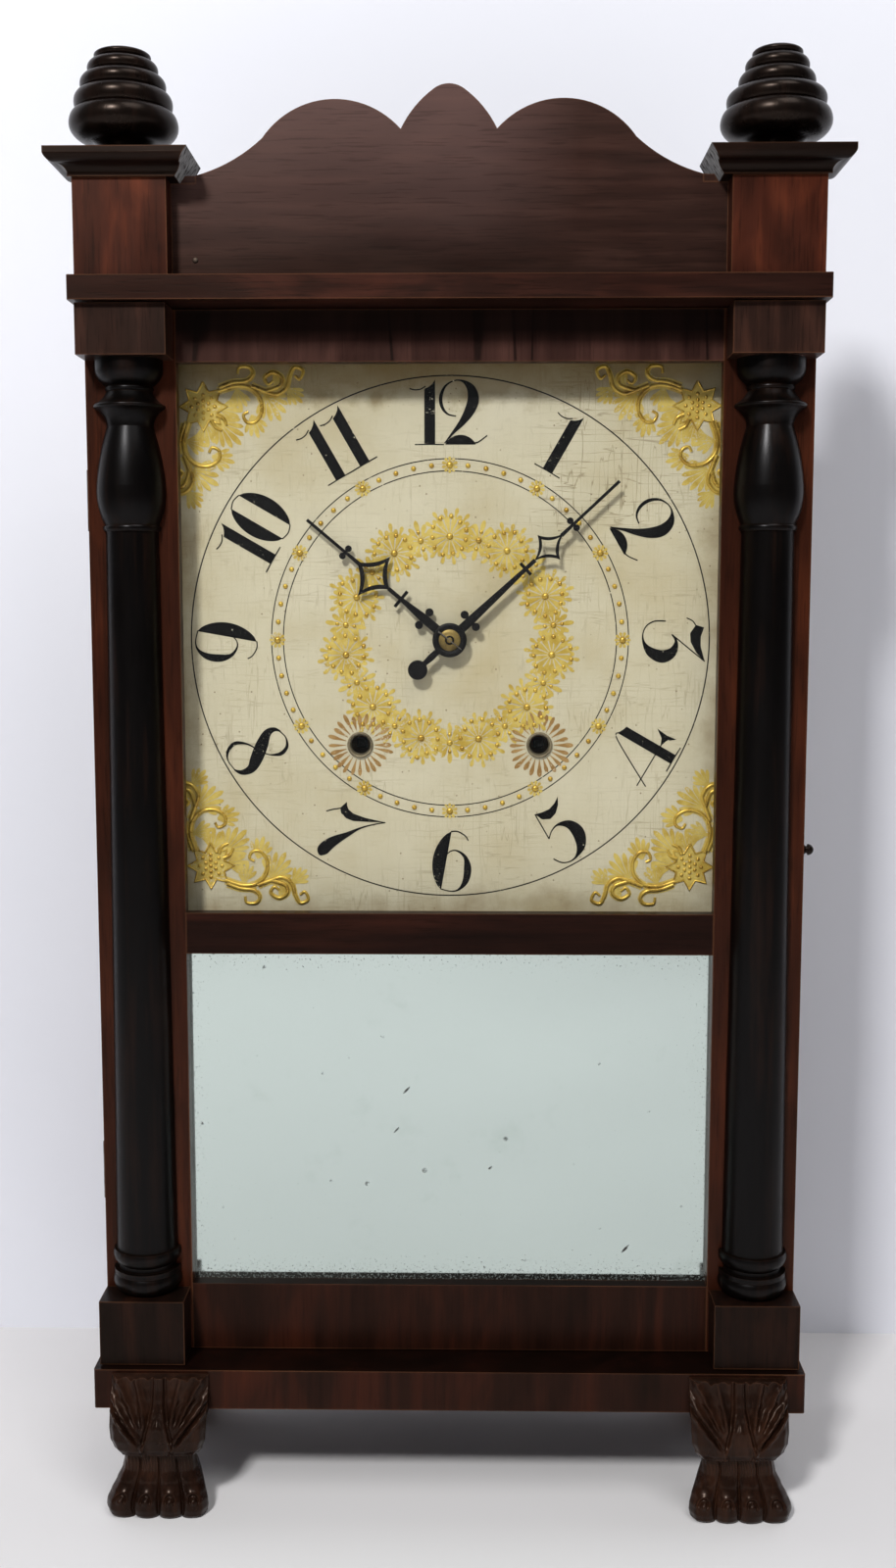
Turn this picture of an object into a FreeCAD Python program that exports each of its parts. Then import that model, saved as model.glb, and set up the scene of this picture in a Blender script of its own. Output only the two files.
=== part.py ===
"""Column and splat shelf clock with a weight-driven wooden movement.

Millimetres. X to the viewer's right, Y to the back, Z up, with the origin on the floor
under the middle of the clock. Depths are counted back from the face of the door.
"""
import FreeCAD, Part
import math
import os
import Sketcher

# Driving sizes
DRIVING_SIZES = {
    # Case
    "side_thickness": 12.0,
    "back_thickness": 8.0,
    "foot_height": 61.6,
    "base_overhang": 3.0,
    "base_thickness": 24.4,
    "base_reach": 28.0,
    "cornice_overhang": 3.0,
    "cornice_thickness": 13.7,
    "cornice_reach": 28.0,
    "edge_round": 1.5,
    # Door frame
    "door_thickness": 18.0,
    "door_gap": 0.8,
    "stile_width": 53.0,
    "bottom_rail_height": 41.8,
    "mirror_height": 208.1,
    "middle_rail_height": 25.0,
    "top_rail_height": 29.7,
    "rebate_depth": 9.0,
    "rebate_width": 5.5,
    "glass_thickness": 2.0,
    "glass_clearance": 0.3,
    "backboard_thickness": 4.0,
    # Column blocks on the door
    "column_block_width": 51.6,
    "column_block_depth": 23.0,
    "base_block_height": 39.8,
    "capital_block_height": 28.8,
    # Half columns
    "column_foot_radius": 16.5,
    "column_torus_radius": 19.6,
    "column_torus_height": 12.0,
    "column_torus_bulge": 2.8,
    "column_fillet_radius": 20.4,
    "column_fillet_height": 3.0,
    "column_neck_radius": 17.4,
    "column_neck_height": 2.8,
    "column_ring_radius": 20.2,
    "column_ring_height": 9.4,
    "column_ring_bulge": 1.8,
    "column_shaft_foot_radius": 18.6,
    "column_shaft_top_radius": 15.4,
    "column_bead_radius": 16.4,
    "column_bead_height": 3.4,
    "column_bead_bulge": 0.6,
    "column_bulb_foot_radius": 15.8,
    "column_bulb_radius": 20.2,
    "column_bulb_rise": 22.2,
    "column_bulb_bulge": 1.5,
    "column_bulb_drop": 72.8,
    "column_bulb_shoulder_bulge": 1.1,
    "column_hollow_radius": 13.6,
    "column_hollow_drop": 38.4,
    "column_hollow_bulge": 1.7,
    "column_flange_radius": 20.2,
    "column_flange_drop": 26.8,
    "column_flange_thickness": 2.4,
    "column_flange_bulge": 0.8,
    "column_collar_radius": 13.3,
    "column_collar_drop": 18.3,
    "column_collar_height": 3.2,
    "column_collar_bulge": 0.8,
    "column_abacus_radius": 19.8,
    "column_abacus_thickness": 6.2,
    "column_abacus_bulge": 1.5,
    # Door knob
    "knob_rise": 313.2,
    "knob_base_radius": 6.5,
    "knob_base_depth": 2.4,
    "knob_neck_radius": 2.2,
    "knob_neck_length": 1.6,
    "knob_ball_radius": 3.4,
    "knob_ball_length": 3.6,
    "knob_ball_bulge": 1.0,
    # Hinges
    "hinge_gap": 1.2,
    "hinge_length": 36.0,
    "hinge_inset": 90.0,
    "hinge_leaf_width": 10.0,
    "hinge_leaf_thickness": 0.5,
    "hinge_knuckle_radius": 2.2,
    "hinge_knuckle_offset": 2.7,
    "hinge_pin_radius": 1.0,
    "hinge_end_gap": 0.2,
    "running_clearance": 0.05,
    # Chimney blocks, caps and finials
    "chimney_width": 53.0,
    "chimney_depth": 35.0,
    "chimney_height": 53.8,
    "chimney_reach": 23.0,
    "chimney_inset": 0.5,
    "cap_height": 13.7,
    "cap_overhang": 13.0,
    "cap_inner_overhang": 14.0,
    "cap_fillet": 2.0,
    "cap_band": 3.4,
    "cap_curve_bulge": 1.3,
    "cap_end_undercut": 8.6,
    "finial_setback": 17.5,
    "finial_foot_radius": 14.0,
    "finial_bowl_height": 19.5,
    "finial_bowl_radius": 31.4,
    "finial_bowl_bulge": 2.4,
    "finial_ring_1_height": 6.6,
    "finial_ring_1_radius": 26.6,
    "finial_ring_1_bulge": 1.7,
    "finial_ring_2_height": 9.7,
    "finial_ring_2_radius": 21.8,
    "finial_ring_2_bulge": 3.7,
    "finial_ring_3_height": 7.9,
    "finial_ring_3_radius": 17.8,
    "finial_ring_3_bulge": 3.0,
    "finial_ring_4_height": 7.3,
    "finial_ring_4_radius": 13.6,
    "finial_ring_4_bulge": 2.9,
    "finial_ring_5_height": 6.1,
    "finial_ring_5_radius": 11.4,
    "finial_ring_5_bulge": 2.4,
    "finial_crown_height": 2.4,
    "finial_crown_flat": 3.0,
    "finial_crown_bulge": 0.5,
    # Splat
    "splat_thickness": 10.0,
    "splat_reach": 8.4,
    "splat_peak_height": 107.9,
    "splat_peak_half_width": 8.5,
    "splat_peak_bulge": 2.7,
    "splat_notch_x": 27.3,
    "splat_notch_height": 83.3,
    "splat_shoulder_bulge": 1.8,
    "splat_lobe_end_x": 106.0,
    "splat_lobe_end_height": 78.6,
    "splat_lobe_bulge": 18.7,
    "splat_end_rise": 4.4,
    "splat_sweep_bulge": 2.6,
    # Front feet
    "foot_inset": 40.6,
    "toe_reach": 46.0,
    "paw_half_width": 30.5,
    "paw_sole_inset": 2.0,
    "paw_height": 9.0,
    "instep_half_width": 26.5,
    "instep_height": 22.0,
    "instep_setback": 4.0,
    "ankle_half_width": 21.8,
    "ankle_height": 37.0,
    "ankle_setback": 8.0,
    "knee_half_width": 29.0,
    "knee_height": 50.0,
    "knee_setback": 4.5,
    "knee_foot_half_width": 24.5,
    "leaf_half_width": 29.5,
    "leaf_top_gap": 2.0,
    "leaf_thickness": 9.5,
    "foot_depth": 44.0,
    "foot_back_inset": 10.0,
    "foot_front_bulge": 5.0,
    "toe_pitch": 15.2,
    "toe_groove_width": 4.0,
    "toe_groove_depth": 9.0,
    # Rear feet
    "rear_foot_width": 40.0,
    "rear_foot_depth": 30.0,
    "rear_foot_inset": 6.0,
    # Dial
    "dial_lap": 9.0,
    "dial_thickness": 6.0,
    "dial_case_gap": 5.8,
    "dial_fit_gap": 0.3,
    "dial_centre_rise": 163.8,
    "winding_spread": 54.7,
    "winding_drop": 63.9,
    "winding_hole_radius": 6.0,
    "hand_hole_radius": 7.0,
    # Movement plates
    "plate_side_gap": 13.0,
    "plate_top_rise": 116.5,
    "plate_wheel_overhang": 2.8,
    "plate_thickness": 5.0,
    "pillar_radius": 5.0,
    "top_pillar_side": 32.0,
    "top_pillar_inset": 10.0,
    "bottom_pillar_side": 14.0,
    "bottom_pillar_inset": 9.0,
    "batten_width": 16.0,
    "batten_side": 14.0,
    "batten_depth": 8.5,
    "wheel_thickness": 4.0,
    "layer_gap": 1.25,
    "layer_margin": 1.2,
    "arbor_radius": 2.0,
    "minute_arbor_radius": 3.0,
    "winding_arbor_radius": 4.0,
    # Places of the arbors, from the middle of the dial
    "third_x": 26.2,
    "third_rise": 34.3,
    "escape_rise": 64.0,
    "verge_rise": 93.0,
    "minute_wheel_x": 21.2,
    "minute_wheel_drop": 21.2,
    "pin_wheel_x": 60.0,
    "pin_wheel_rise": 20.0,
    "fly_x": 96.0,
    "fly_rise": 20.0,
    "count_wheel_x": 52.0,
    "count_wheel_rise": 62.2,
    "hammer_x": 82.0,
    "hammer_rise": 88.0,
    # Motion work
    "motion_front_gap": 2.0,
    "motion_dial_gap": 8.0,
    "motion_layer_gap": 3.0,
    "hour_pipe_radius": 5.0,
    "hour_pipe_fit": 0.06,
    "hand_fit": 0.02,
    # Escapement and pendulum
    "escape_radius": 18.5,
    "escape_tooth_depth": 2.6,
    "escape_rim": 2.6,
    "escape_thickness": 1.4,
    "pallet_half_span": 16.0,
    "pallet_drop": 13.0,
    "pallet_width": 3.4,
    "anchor_hub_radius": 4.5,
    "crutch_gap": 1.2,
    "crutch_thickness": 1.4,
    "crutch_half_width": 1.5,
    "crutch_length": 38.0,
    "crutch_prong_width": 1.3,
    "crutch_prong_length": 3.6,
    "crutch_prong_height": 4.0,
    "crutch_slot_gap": 0.35,
    "suspension_peg_radius": 1.5,
    "suspension_eye_radius": 4.0,
    "pendulum_eye_thickness": 2.0,
    "pendulum_length": 285.0,
    "pendulum_rod_radius": 1.0,
    "pendulum_back_gap": 2.5,
    "pendulum_tail": 34.0,
    "rating_nut_radius": 3.2,
    "rating_nut_height": 4.0,
    "bob_radius": 28.0,
    "bob_edge": 2.0,
    "bob_swell": 3.0,
    "bob_bulge": 0.6,
    "bob_flat": 4.0,
    "bob_forward": 1.5,
    # Winding drums
    "drum_radius": 8.0,
    "drum_flange_radius": 13.0,
    "drum_flange_thickness": 1.5,
    "winding_square": 5.2,
    "winding_square_length": 14.0,
    # Weights, pulleys and cords
    "cord_radius": 1.0,
    "cord_gap": 0.3,
    "weight_inner_gap": 10.9,
    "weight_side_gap": 15.0,
    "weight_radius": 25.0,
    "weight_height": 112.0,
    "weight_edge": 4.0,
    "weight_floor_gap": 14.0,
    "weight_hook_radius": 2.5,
    "weight_hook_height": 14.0,
    "pulley_radius": 10.7,
    "pulley_flange_radius": 13.4,
    "pulley_thickness": 5.0,
    "pulley_groove_width": 3.0,
    "pulley_drop": 14.4,
    "pulley_pin_radius": 2.0,
    "pulley_cheek_thickness": 4.0,
    "pulley_cheek_gap": 0.5,
    "pulley_cheek_half_width": 9.0,
    "pulley_cheek_below": 6.0,
    # Strike work
    "lifting_pin_ring": 24.0,
    "lifting_pin_radius": 1.2,
    "fly_half_length": 16.0,
    "fly_half_thickness": 0.8,
    "hammer_arm_radius": 1.2,
    "hammer_head_radius": 5.0,
    "hammer_head_length": 9.0,
    "hammer_head_gap": 1.0,
    "hammer_tail_gap": 1.5,
    "bell_radius": 32.0,
    "bell_depth": 22.0,
    "bell_wall": 2.2,
    "bell_crown_radius": 12.0,
    "bell_bulge": 4.0,
    "bell_plate_gap": 2.0,
    "bell_top_gap": 9.4,
    "bell_hole_radius": 2.5,
    "bell_stand_length": 7.0,
    "bell_stand_half_width": 9.0,
    "bell_stand_plate": 1.6,
    "bell_stand_below": 24.0,
    # Hands
    "hour_hand_gap": 4.0,
    "minute_hand_gap": 2.0,
    "hand_thickness": 1.0,
    "hand_hub_radius": 10.3,
    "hand_root_width": 5.4,
    "hand_stem_width": 2.5,
    "hand_tip_width": 1.9,
    "hand_bar_width": 2.0,
    "hand_ball_radius": 2.45,
    "hand_ball_spread": 4.95,
    "hand_upper_ball_radius": 2.0,
    "hand_upper_ball_spread": 2.8,
    "hand_neck_width": 1.6,
    "hand_tail_width": 4.2,
    "hour_hand_balls": 20.0,
    "hour_hand_bar": 38.2,
    "hour_hand_bar_half": 6.0,
    "hour_hand_rim": 2.8,
    "hour_hand_diamond_start": 47.0,
    "hour_hand_diamond_middle": 59.4,
    "hour_hand_diamond_end": 72.9,
    "hour_hand_diamond_half": 15.3,
    "hour_hand_upper_balls": 81.7,
    "hour_hand_tip": 111.7,
    "minute_hand_balls": 17.0,
    "minute_hand_bar": 62.3,
    "minute_hand_bar_half": 4.7,
    "minute_hand_rim": 2.2,
    "minute_hand_diamond_start": 69.0,
    "minute_hand_diamond_middle": 81.1,
    "minute_hand_diamond_end": 93.5,
    "minute_hand_diamond_half": 10.0,
    "minute_hand_upper_balls": 101.0,
    "minute_hand_tip": 138.2,
    "hand_tail_length": 26.3,
    "hand_tail_disc": 5.9,
    "diamond_hollow": 1.8,
}

# Hand angles in degrees clockwise from twelve
HOUR_HAND_ANGLE = 310.0
MINUTE_HAND_ANGLE = 47.0

# Tooth counts
GREAT_TOOTH_COUNT = 48
GREAT_LEAF_COUNT = 12
CENTRE_TOOTH_COUNT = 48
THIRD_TOOTH_COUNT = 60
TRAIN_LEAF_COUNT = 6
ESCAPE_TOOTH_COUNT = 42
MINUTE_TOOTH_COUNT = 24
HOUR_TOOTH_COUNT = 32
MOTION_LEAF_COUNT = 8
PIN_WHEEL_TOOTH_COUNT = 48
COUNTING_TOOTH_COUNT = 39
COUNTING_LEAF_COUNT = 4
LIFTING_PIN_COUNT = 8
TOE_COUNT = 4

# Tooth forms, as shares of the pitch and of the module
WHEEL_TIP, WHEEL_ADDENDUM, WHEEL_DEDENDUM = 0.16, 0.75, 1.05
LEAF_ROOT, LEAF_TIP, LEAF_ADDENDUM, LEAF_DEDENDUM = 0.30, 0.16, 0.50, 1.00

doc = FreeCAD.newDocument("ColumnAndSplatClock")
sheet = doc.addObject("Spreadsheet::Sheet", "Sizes")
nodes = {}


class Length:
    """A size of the clock: its value in millimetres and the sheet formula that gives it."""

    def __init__(self, value, formula):
        self.value = value
        self.formula = formula

    def joined(self, sign, other, value):
        return Length(value, f"({self.formula} {sign} {formula(other)})")

    def __float__(self):
        return self.value

    def __neg__(self):
        return Length(-self.value, f"(0 - {self.formula})")

    def __add__(self, other):
        return self.joined("+", other, self.value + float(other))

    def __sub__(self, other):
        return self.joined("-", other, self.value - float(other))

    def __mul__(self, other):
        return self.joined("*", other, self.value * float(other))

    def __truediv__(self, other):
        return self.joined("/", other, self.value / float(other))

    def root(self):
        return Length(math.sqrt(self.value), f"sqrt({self.formula})")


def formula(length):
    """The sheet formula of a size, or of a plain number."""
    return length.formula if isinstance(length, Length) else repr(float(length))


class Sizes:
    """The driving sizes, each kept in its own cell of the sheet."""

    def __init__(self):
        for row, (name, value) in enumerate(DRIVING_SIZES.items(), start=1):
            sheet.set(f"A{row}", name)
            sheet.set(f"B{row}", str(value))
            sheet.setAlias(f"B{row}", name)
            setattr(self, name, Length(value, f"Sizes.{name}"))


size = Sizes()
doc.recompute()
NOTHING = Length(0.0, "0")


# Shared builders

def bind(item, place, length):
    """Tie one property of an object to the sheet."""
    item.setExpression(place, formula(length))


def keep(name, item):
    """Give a finished piece its name and list it as a sub-part."""
    item.Label = name
    nodes[name] = item
    return item


def board(name, across, depth, height):
    """A board between pairs of faces across X, Y and Z."""
    box = doc.addObject("Part::Box", name)
    spans = (across, depth, height)
    for place, axis, (low, high) in zip(("Length", "Width", "Height"), "xyz", spans):
        bind(box, place, high - low)
        bind(box, "Placement.Base." + axis, low)
    return box


def rod_along_y(name, radius, x, z, front, back):
    """A round rod from front to back."""
    rod = doc.addObject("Part::Cylinder", name)
    bind(rod, "Radius", radius)
    bind(rod, "Height", back - front)
    rod.Placement.Rotation = FreeCAD.Rotation(FreeCAD.Vector(1, 0, 0), -90)
    for axis, length in zip("xyz", (x, front, z)):
        bind(rod, "Placement.Base." + axis, length)
    return rod


def rod_along_z(name, radius, x, y, low, high):
    """A round upright rod."""
    rod = doc.addObject("Part::Cylinder", name)
    bind(rod, "Radius", radius)
    bind(rod, "Height", high - low)
    for axis, length in zip("xyz", (x, y, low)):
        bind(rod, "Placement.Base." + axis, length)
    return rod


def cut(name, base, tools):
    """A piece with other solids cut out of it."""
    tool = tools[0]
    if len(tools) > 1:
        tool = doc.addObject("Part::Compound", name + "_cuts")
        tool.Links = tools
    result = doc.addObject("Part::Cut", name)
    result.Base = base
    result.Tool = tool
    return result


def fuse(name, pieces):
    """Several touching solids glued into one piece."""
    result = doc.addObject("Part::MultiFuse", name)
    result.Shapes = pieces
    result.Refine = True
    return result


def group(name, pieces):
    """Identical loose pieces that share one node."""
    result = doc.addObject("Part::Compound", name)
    result.Links = pieces
    return result


def new_sketch(body, role, name, offset=NOTHING):
    """A sketch on one of a body's own planes, set off along the plane's normal."""
    plane = next(item for item in body.Origin.OriginFeatures if item.Role == role)
    sketch = body.newObject("Sketcher::SketchObject", name)
    sketch.AttachmentSupport = (plane, [""])
    sketch.MapMode = "FlatFace"
    bind(sketch, "AttachmentOffset.Base.z", offset)
    return sketch


def arc_radius(start, end, bulge):
    """The radius of an arc over a chord that it leaves by a bulge."""
    across = end[0] - start[0]
    along = end[1] - start[1]
    chord = across * across + along * along
    return chord / (bulge * 8) + bulge / 2


def draw(sketch, outline):
    """Draw a closed outline. A point's third value is the bulge, to the right of the way there, of
    the arc that reaches it."""
    points = [(float(point[0]), float(point[1])) for point in outline]
    first = sketch.GeometryCount
    count = len(outline)
    for index, point in enumerate(outline):
        x0, y0 = points[index - 1]
        x1, y1 = points[index]
        start = FreeCAD.Vector(x0, y0, 0)
        end = FreeCAD.Vector(x1, y1, 0)
        if len(point) == 2:
            sketch.addGeometry(Part.LineSegment(start, end), False)
            continue
        reach = float(point[2]) / math.hypot(x1 - x0, y1 - y0)
        middle = (start + end) / 2 + FreeCAD.Vector(y1 - y0, x0 - x1, 0) * reach
        sketch.addGeometry(Part.Arc(start, middle, end), False)
    for index, point in enumerate(outline):
        here = first + index
        following = first + (index + 1) % count
        bulge = float(point[2]) if len(point) == 3 else 0.0
        end_of_here = 1 if bulge < 0 else 2
        after = outline[(index + 1) % count]
        start_of_next = 2 if len(after) == 3 and float(after[2]) < 0 else 1
        sketch.addConstraint(Sketcher.Constraint("Coincident", here, end_of_here, following, start_of_next))
        for kind, length in zip(("DistanceX", "DistanceY"), point):
            place = sketch.addConstraint(Sketcher.Constraint(kind, -1, 1, here, end_of_here, float(length)))
            bind(sketch, f"Constraints[{place}]", length)
        if bulge:
            radius = arc_radius(outline[index - 1], point, point[2])
            place = sketch.addConstraint(Sketcher.Constraint("Radius", here, abs(float(radius))))
            sketch.setExpression(f"Constraints[{place}]", f"abs({radius.formula})")


def padded(name, role, outline, low, high):
    """A body sawn to one outline, between two places along the outline's normal."""
    body = doc.addObject("PartDesign::Body", name)
    offset = -high if role == "XZ_Plane" else low
    sketch = new_sketch(body, role, name + "_outline", offset)
    draw(sketch, outline)
    pad = body.newObject("PartDesign::Pad", name + "_pad")
    pad.Profile = sketch
    bind(pad, "Length", high - low)
    body.Tip = pad
    return body


def turned(name, role, axis, profile, place, half=False):
    """A body turned on a lathe from a profile beside its axis."""
    body = doc.addObject("PartDesign::Body", name)
    sketch = new_sketch(body, role, name + "_profile")
    draw(sketch, profile)
    turning = body.newObject("PartDesign::Revolution", name + "_turning")
    turning.Profile = sketch
    turning.ReferenceAxis = (sketch, [axis])
    turning.Angle = 180.0 if half else 360.0
    turning.Reversed = half
    body.Tip = turning
    for letter, length in zip("xyz", place):
        bind(body, "Placement.Base." + letter, length)
    return body


def solid(name, shape, place=None):
    """A piece whose shape is worked out from the sizes, set at its place."""
    item = doc.addObject("Part::Feature", name)
    item.Shape = shape
    if place:
        item.Placement = FreeCAD.Placement(FreeCAD.Vector(*[float(length) for length in place]),
                                           FreeCAD.Rotation())
    return item


# Levels from the floor up, and depths from the door face back

great_reach = (size.winding_spread * size.winding_spread + size.winding_drop * size.winding_drop).root()
GREAT_TIP_SHARE = 2 * (GREAT_TOOTH_COUNT / 2 + WHEEL_ADDENDUM) / (GREAT_TOOTH_COUNT + GREAT_LEAF_COUNT)
great_tip = great_reach * GREAT_TIP_SHARE
weight_x = size.winding_spread + great_tip + size.weight_inner_gap + size.weight_radius
half_case = weight_x + size.weight_radius + size.weight_side_gap + size.side_thickness
half_plate = weight_x - size.weight_radius - size.plate_side_gap
half_base = half_case + size.base_overhang
half_cornice = half_case + size.cornice_overhang
half_opening = half_case - size.stile_width

dial_setback = size.door_thickness + size.hinge_gap + size.dial_case_gap
motion_stack = size.wheel_thickness * 2 + size.motion_layer_gap + size.motion_front_gap
plate_setback = dial_setback + size.dial_thickness + size.motion_dial_gap + motion_stack
layer_pitch = size.wheel_thickness + size.layer_gap
LAST_LAYER_NUMBER = 4
plate_spacing = layer_pitch * LAST_LAYER_NUMBER + size.wheel_thickness + size.layer_margin * 2
back_depth = plate_setback + size.plate_thickness * 2 + plate_spacing + size.batten_depth
case_depth = back_depth + size.back_thickness
door_face = (size.toe_reach - case_depth) / 2
hour_hand_setback = dial_setback - size.hour_hand_gap - size.hand_thickness
minute_hand_setback = hour_hand_setback - size.minute_hand_gap - size.hand_thickness


def behind(depth):
    """The Y of a depth behind the face of the door."""
    return door_face + depth


def before(reach):
    """The Y of a reach in front of the face of the door."""
    return door_face - reach


case_back = behind(case_depth)
back_face = behind(back_depth)
door_back = behind(size.door_thickness)
case_front = door_back + size.hinge_gap
dial_face = behind(dial_setback)
dial_back = dial_face + size.dial_thickness
plate_face = behind(plate_setback)
movement_front = plate_face + size.plate_thickness
movement_back = movement_front + plate_spacing
back_plate_back = movement_back + size.plate_thickness

base_top = size.foot_height + size.base_thickness
door_bottom = base_top + size.door_gap
mirror_low = door_bottom + size.bottom_rail_height
mirror_high = mirror_low + size.mirror_height
window_low = mirror_high + size.middle_rail_height
centre_z = window_low + size.dial_centre_rise
bell_z = centre_z + size.plate_top_rise + size.bell_plate_gap + size.bell_radius
cornice_bottom = bell_z + size.bell_radius + size.bell_top_gap
door_top = cornice_bottom - size.door_gap
window_high = door_top - size.top_rail_height
cornice_top = cornice_bottom + size.cornice_thickness
chimney_top = cornice_top + size.chimney_height
cap_top = chimney_top + size.cap_height
plate_low = centre_z - size.winding_drop - great_tip + size.plate_wheel_overhang
plate_high = centre_z + size.plate_top_rise


def layer(number):
    """Front and back of one wheel layer between the movement plates."""
    front = movement_front + size.layer_margin + layer_pitch * number
    return front, front + size.wheel_thickness


# Case

def make_case():
    """The boards of the case, with the pulley cheeks under the cornice."""
    for name, low, high in (("left_side_board", -half_case, size.side_thickness - half_case),
                            ("right_side_board", half_case - size.side_thickness, half_case)):
        keep(name, board(name, (low, high), (case_front, back_face), (base_top, cornice_bottom)))

    back = board("back_panel", (-half_case, half_case), (back_face, case_back), (base_top, cornice_bottom))
    pieces = [back]
    batten_x = half_plate - size.batten_side
    for side, place in (("left", -batten_x), ("right", batten_x)):
        across = (place - size.batten_width / 2, place + size.batten_width / 2)
        pieces.append(board(side + "_batten", across, (back_plate_back, back_face), (plate_low, plate_high)))
    peg_front = back_face - size.pendulum_back_gap - size.pendulum_eye_thickness
    pieces.append(rod_along_y("suspension_peg", size.suspension_peg_radius, NOTHING,
                              centre_z + size.verge_rise, peg_front, back_face))
    keep("back_board", fuse("back_board", pieces))

    for name, half, reach, low, high in (
            ("base_board", half_base, size.base_reach, size.foot_height, base_top),
            ("cornice_top_board", half_cornice, size.cornice_reach, cornice_bottom, cornice_top)):
        outline = [(-half, before(reach) + size.edge_round),
                   (size.edge_round - half, before(reach), size.edge_round * 0.29),
                   (half - size.edge_round, before(reach)),
                   (half, before(reach) + size.edge_round, size.edge_round * 0.29),
                   (half, case_back),
                   (-half, case_back)]
        made = padded(name, "XY_Plane", outline, low, high)
        if name == "base_board":
            keep(name, made)
        else:
            add_pulley_cheeks(made)


def pulley_place(side):
    """Middle of a pulley across X, and its height."""
    reach = weight_x - size.pulley_radius - size.cord_gap - size.cord_radius
    return (reach if side > 0 else -reach), cornice_bottom - size.pulley_drop


def cord_plane():
    """The Y of both cords, over the middle of the winding drums."""
    front, _ = layer(0)
    _, back = layer(2)
    return (front + back) / 2


def add_pulley_cheeks(top_board):
    """The cornice with two bored cheeks under it for each pulley."""
    pieces = [top_board]
    bores = []
    inner = size.pulley_thickness / 2 + size.pulley_cheek_gap
    outer = inner + size.pulley_cheek_thickness
    for side, word in ((-1, "strike"), (1, "time")):
        x, z = pulley_place(side)
        across = (x - size.pulley_cheek_half_width, x + size.pulley_cheek_half_width)
        height = (z - size.pulley_cheek_below, cornice_bottom)
        pieces.append(board(word + "_front_cheek", across, (cord_plane() - outer, cord_plane() - inner), height))
        pieces.append(board(word + "_back_cheek", across, (cord_plane() + inner, cord_plane() + outer), height))
        bores.append(rod_along_y(word + "_cheek_bore", size.pulley_pin_radius + size.running_clearance, x, z,
                                 cord_plane() - outer, cord_plane() + outer))
    keep("cornice_board", cut("cornice_board", fuse("cornice_blank", pieces), bores))


def make_top():
    """Chimney blocks, moulded caps, beehive finials and the scrolled splat."""
    outer = half_case - size.chimney_inset
    inner = outer - size.chimney_width
    front = before(size.chimney_reach)
    back = front + size.chimney_depth
    for word, side in (("left", -1), ("right", 1)):
        name = word + "_chimney_block"
        across = (-outer, -inner) if side < 0 else (inner, outer)
        keep(name, board(name, across, (front, back), (cornice_top, chimney_top)))
        make_cap(word, side, outer, inner, front, back)
        make_finial(word, side * 1.0, (outer + inner) / 2, front + size.finial_setback)

    notch_x = inner - size.cap_inner_overhang - size.glass_clearance
    right_half = [
        (inner, NOTHING),
        (inner, size.chimney_height),
        (notch_x, size.chimney_height),
        (notch_x, size.chimney_height + size.splat_end_rise),
        (size.splat_lobe_end_x, size.splat_lobe_end_height, -size.splat_sweep_bulge),
        (size.splat_notch_x, size.splat_notch_height, size.splat_lobe_bulge),
        (size.splat_peak_half_width, size.splat_peak_height - size.splat_peak_bulge, size.splat_shoulder_bulge),
    ]
    bends = [size.splat_peak_bulge, size.splat_shoulder_bulge, size.splat_lobe_bulge,
             -size.splat_sweep_bulge]
    left_half = [(-point[0], point[1]) for point in reversed(right_half)]
    for index, bulge in enumerate(bends):
        left_half[index] = left_half[index] + (bulge,)
    outline = [(point[0], cornice_top + point[1]) + tuple(point[2:]) for point in right_half + left_half]
    splat_front = before(size.splat_reach)
    keep("splat", padded("splat", "XZ_Plane", outline, splat_front, splat_front + size.splat_thickness))


def make_cap(word, side, outer, inner, front, back):
    """A cap moulded along its front and its outer end, mitred where they meet."""
    name = word + "_cap"
    ogee_top = size.cap_height - size.cap_band
    ogee_middle = ((size.cap_fillet + size.cap_overhang) / 2, (size.cap_fillet + ogee_top) / 2)

    def moulded(edge, outward):
        steps = [(size.cap_fillet, NOTHING), (size.cap_fillet, size.cap_fillet),
                 ogee_middle + (-size.cap_curve_bulge * outward,),
                 (size.cap_overhang, ogee_top, size.cap_curve_bulge * outward),
                 (size.cap_overhang, size.cap_height)]
        return [(edge + step[0] * outward, chimney_top + step[1]) + tuple(step[2:]) for step in steps]

    front_edge = moulded(front, -1.0)
    profile = front_edge + [(back, cap_top), (back, chimney_top)]
    reach = outer + size.cap_overhang
    span = (-reach, reach)
    along = padded(name + "_front_mould", "YZ_Plane", profile, *span)
    end_edge = moulded(outer * side, float(side))
    sawn_end = (inner - size.cap_inner_overhang) * side
    undercut = (inner - size.cap_inner_overhang + size.cap_end_undercut) * side
    profile = end_edge + [(sawn_end, cap_top), (undercut, chimney_top)]
    across = padded(name + "_end_mould", "XZ_Plane", profile, front - size.cap_overhang, back)
    cap = doc.addObject("Part::Common", name)
    cap.Base = along
    cap.Tool = across
    keep(name, cap)


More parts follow.
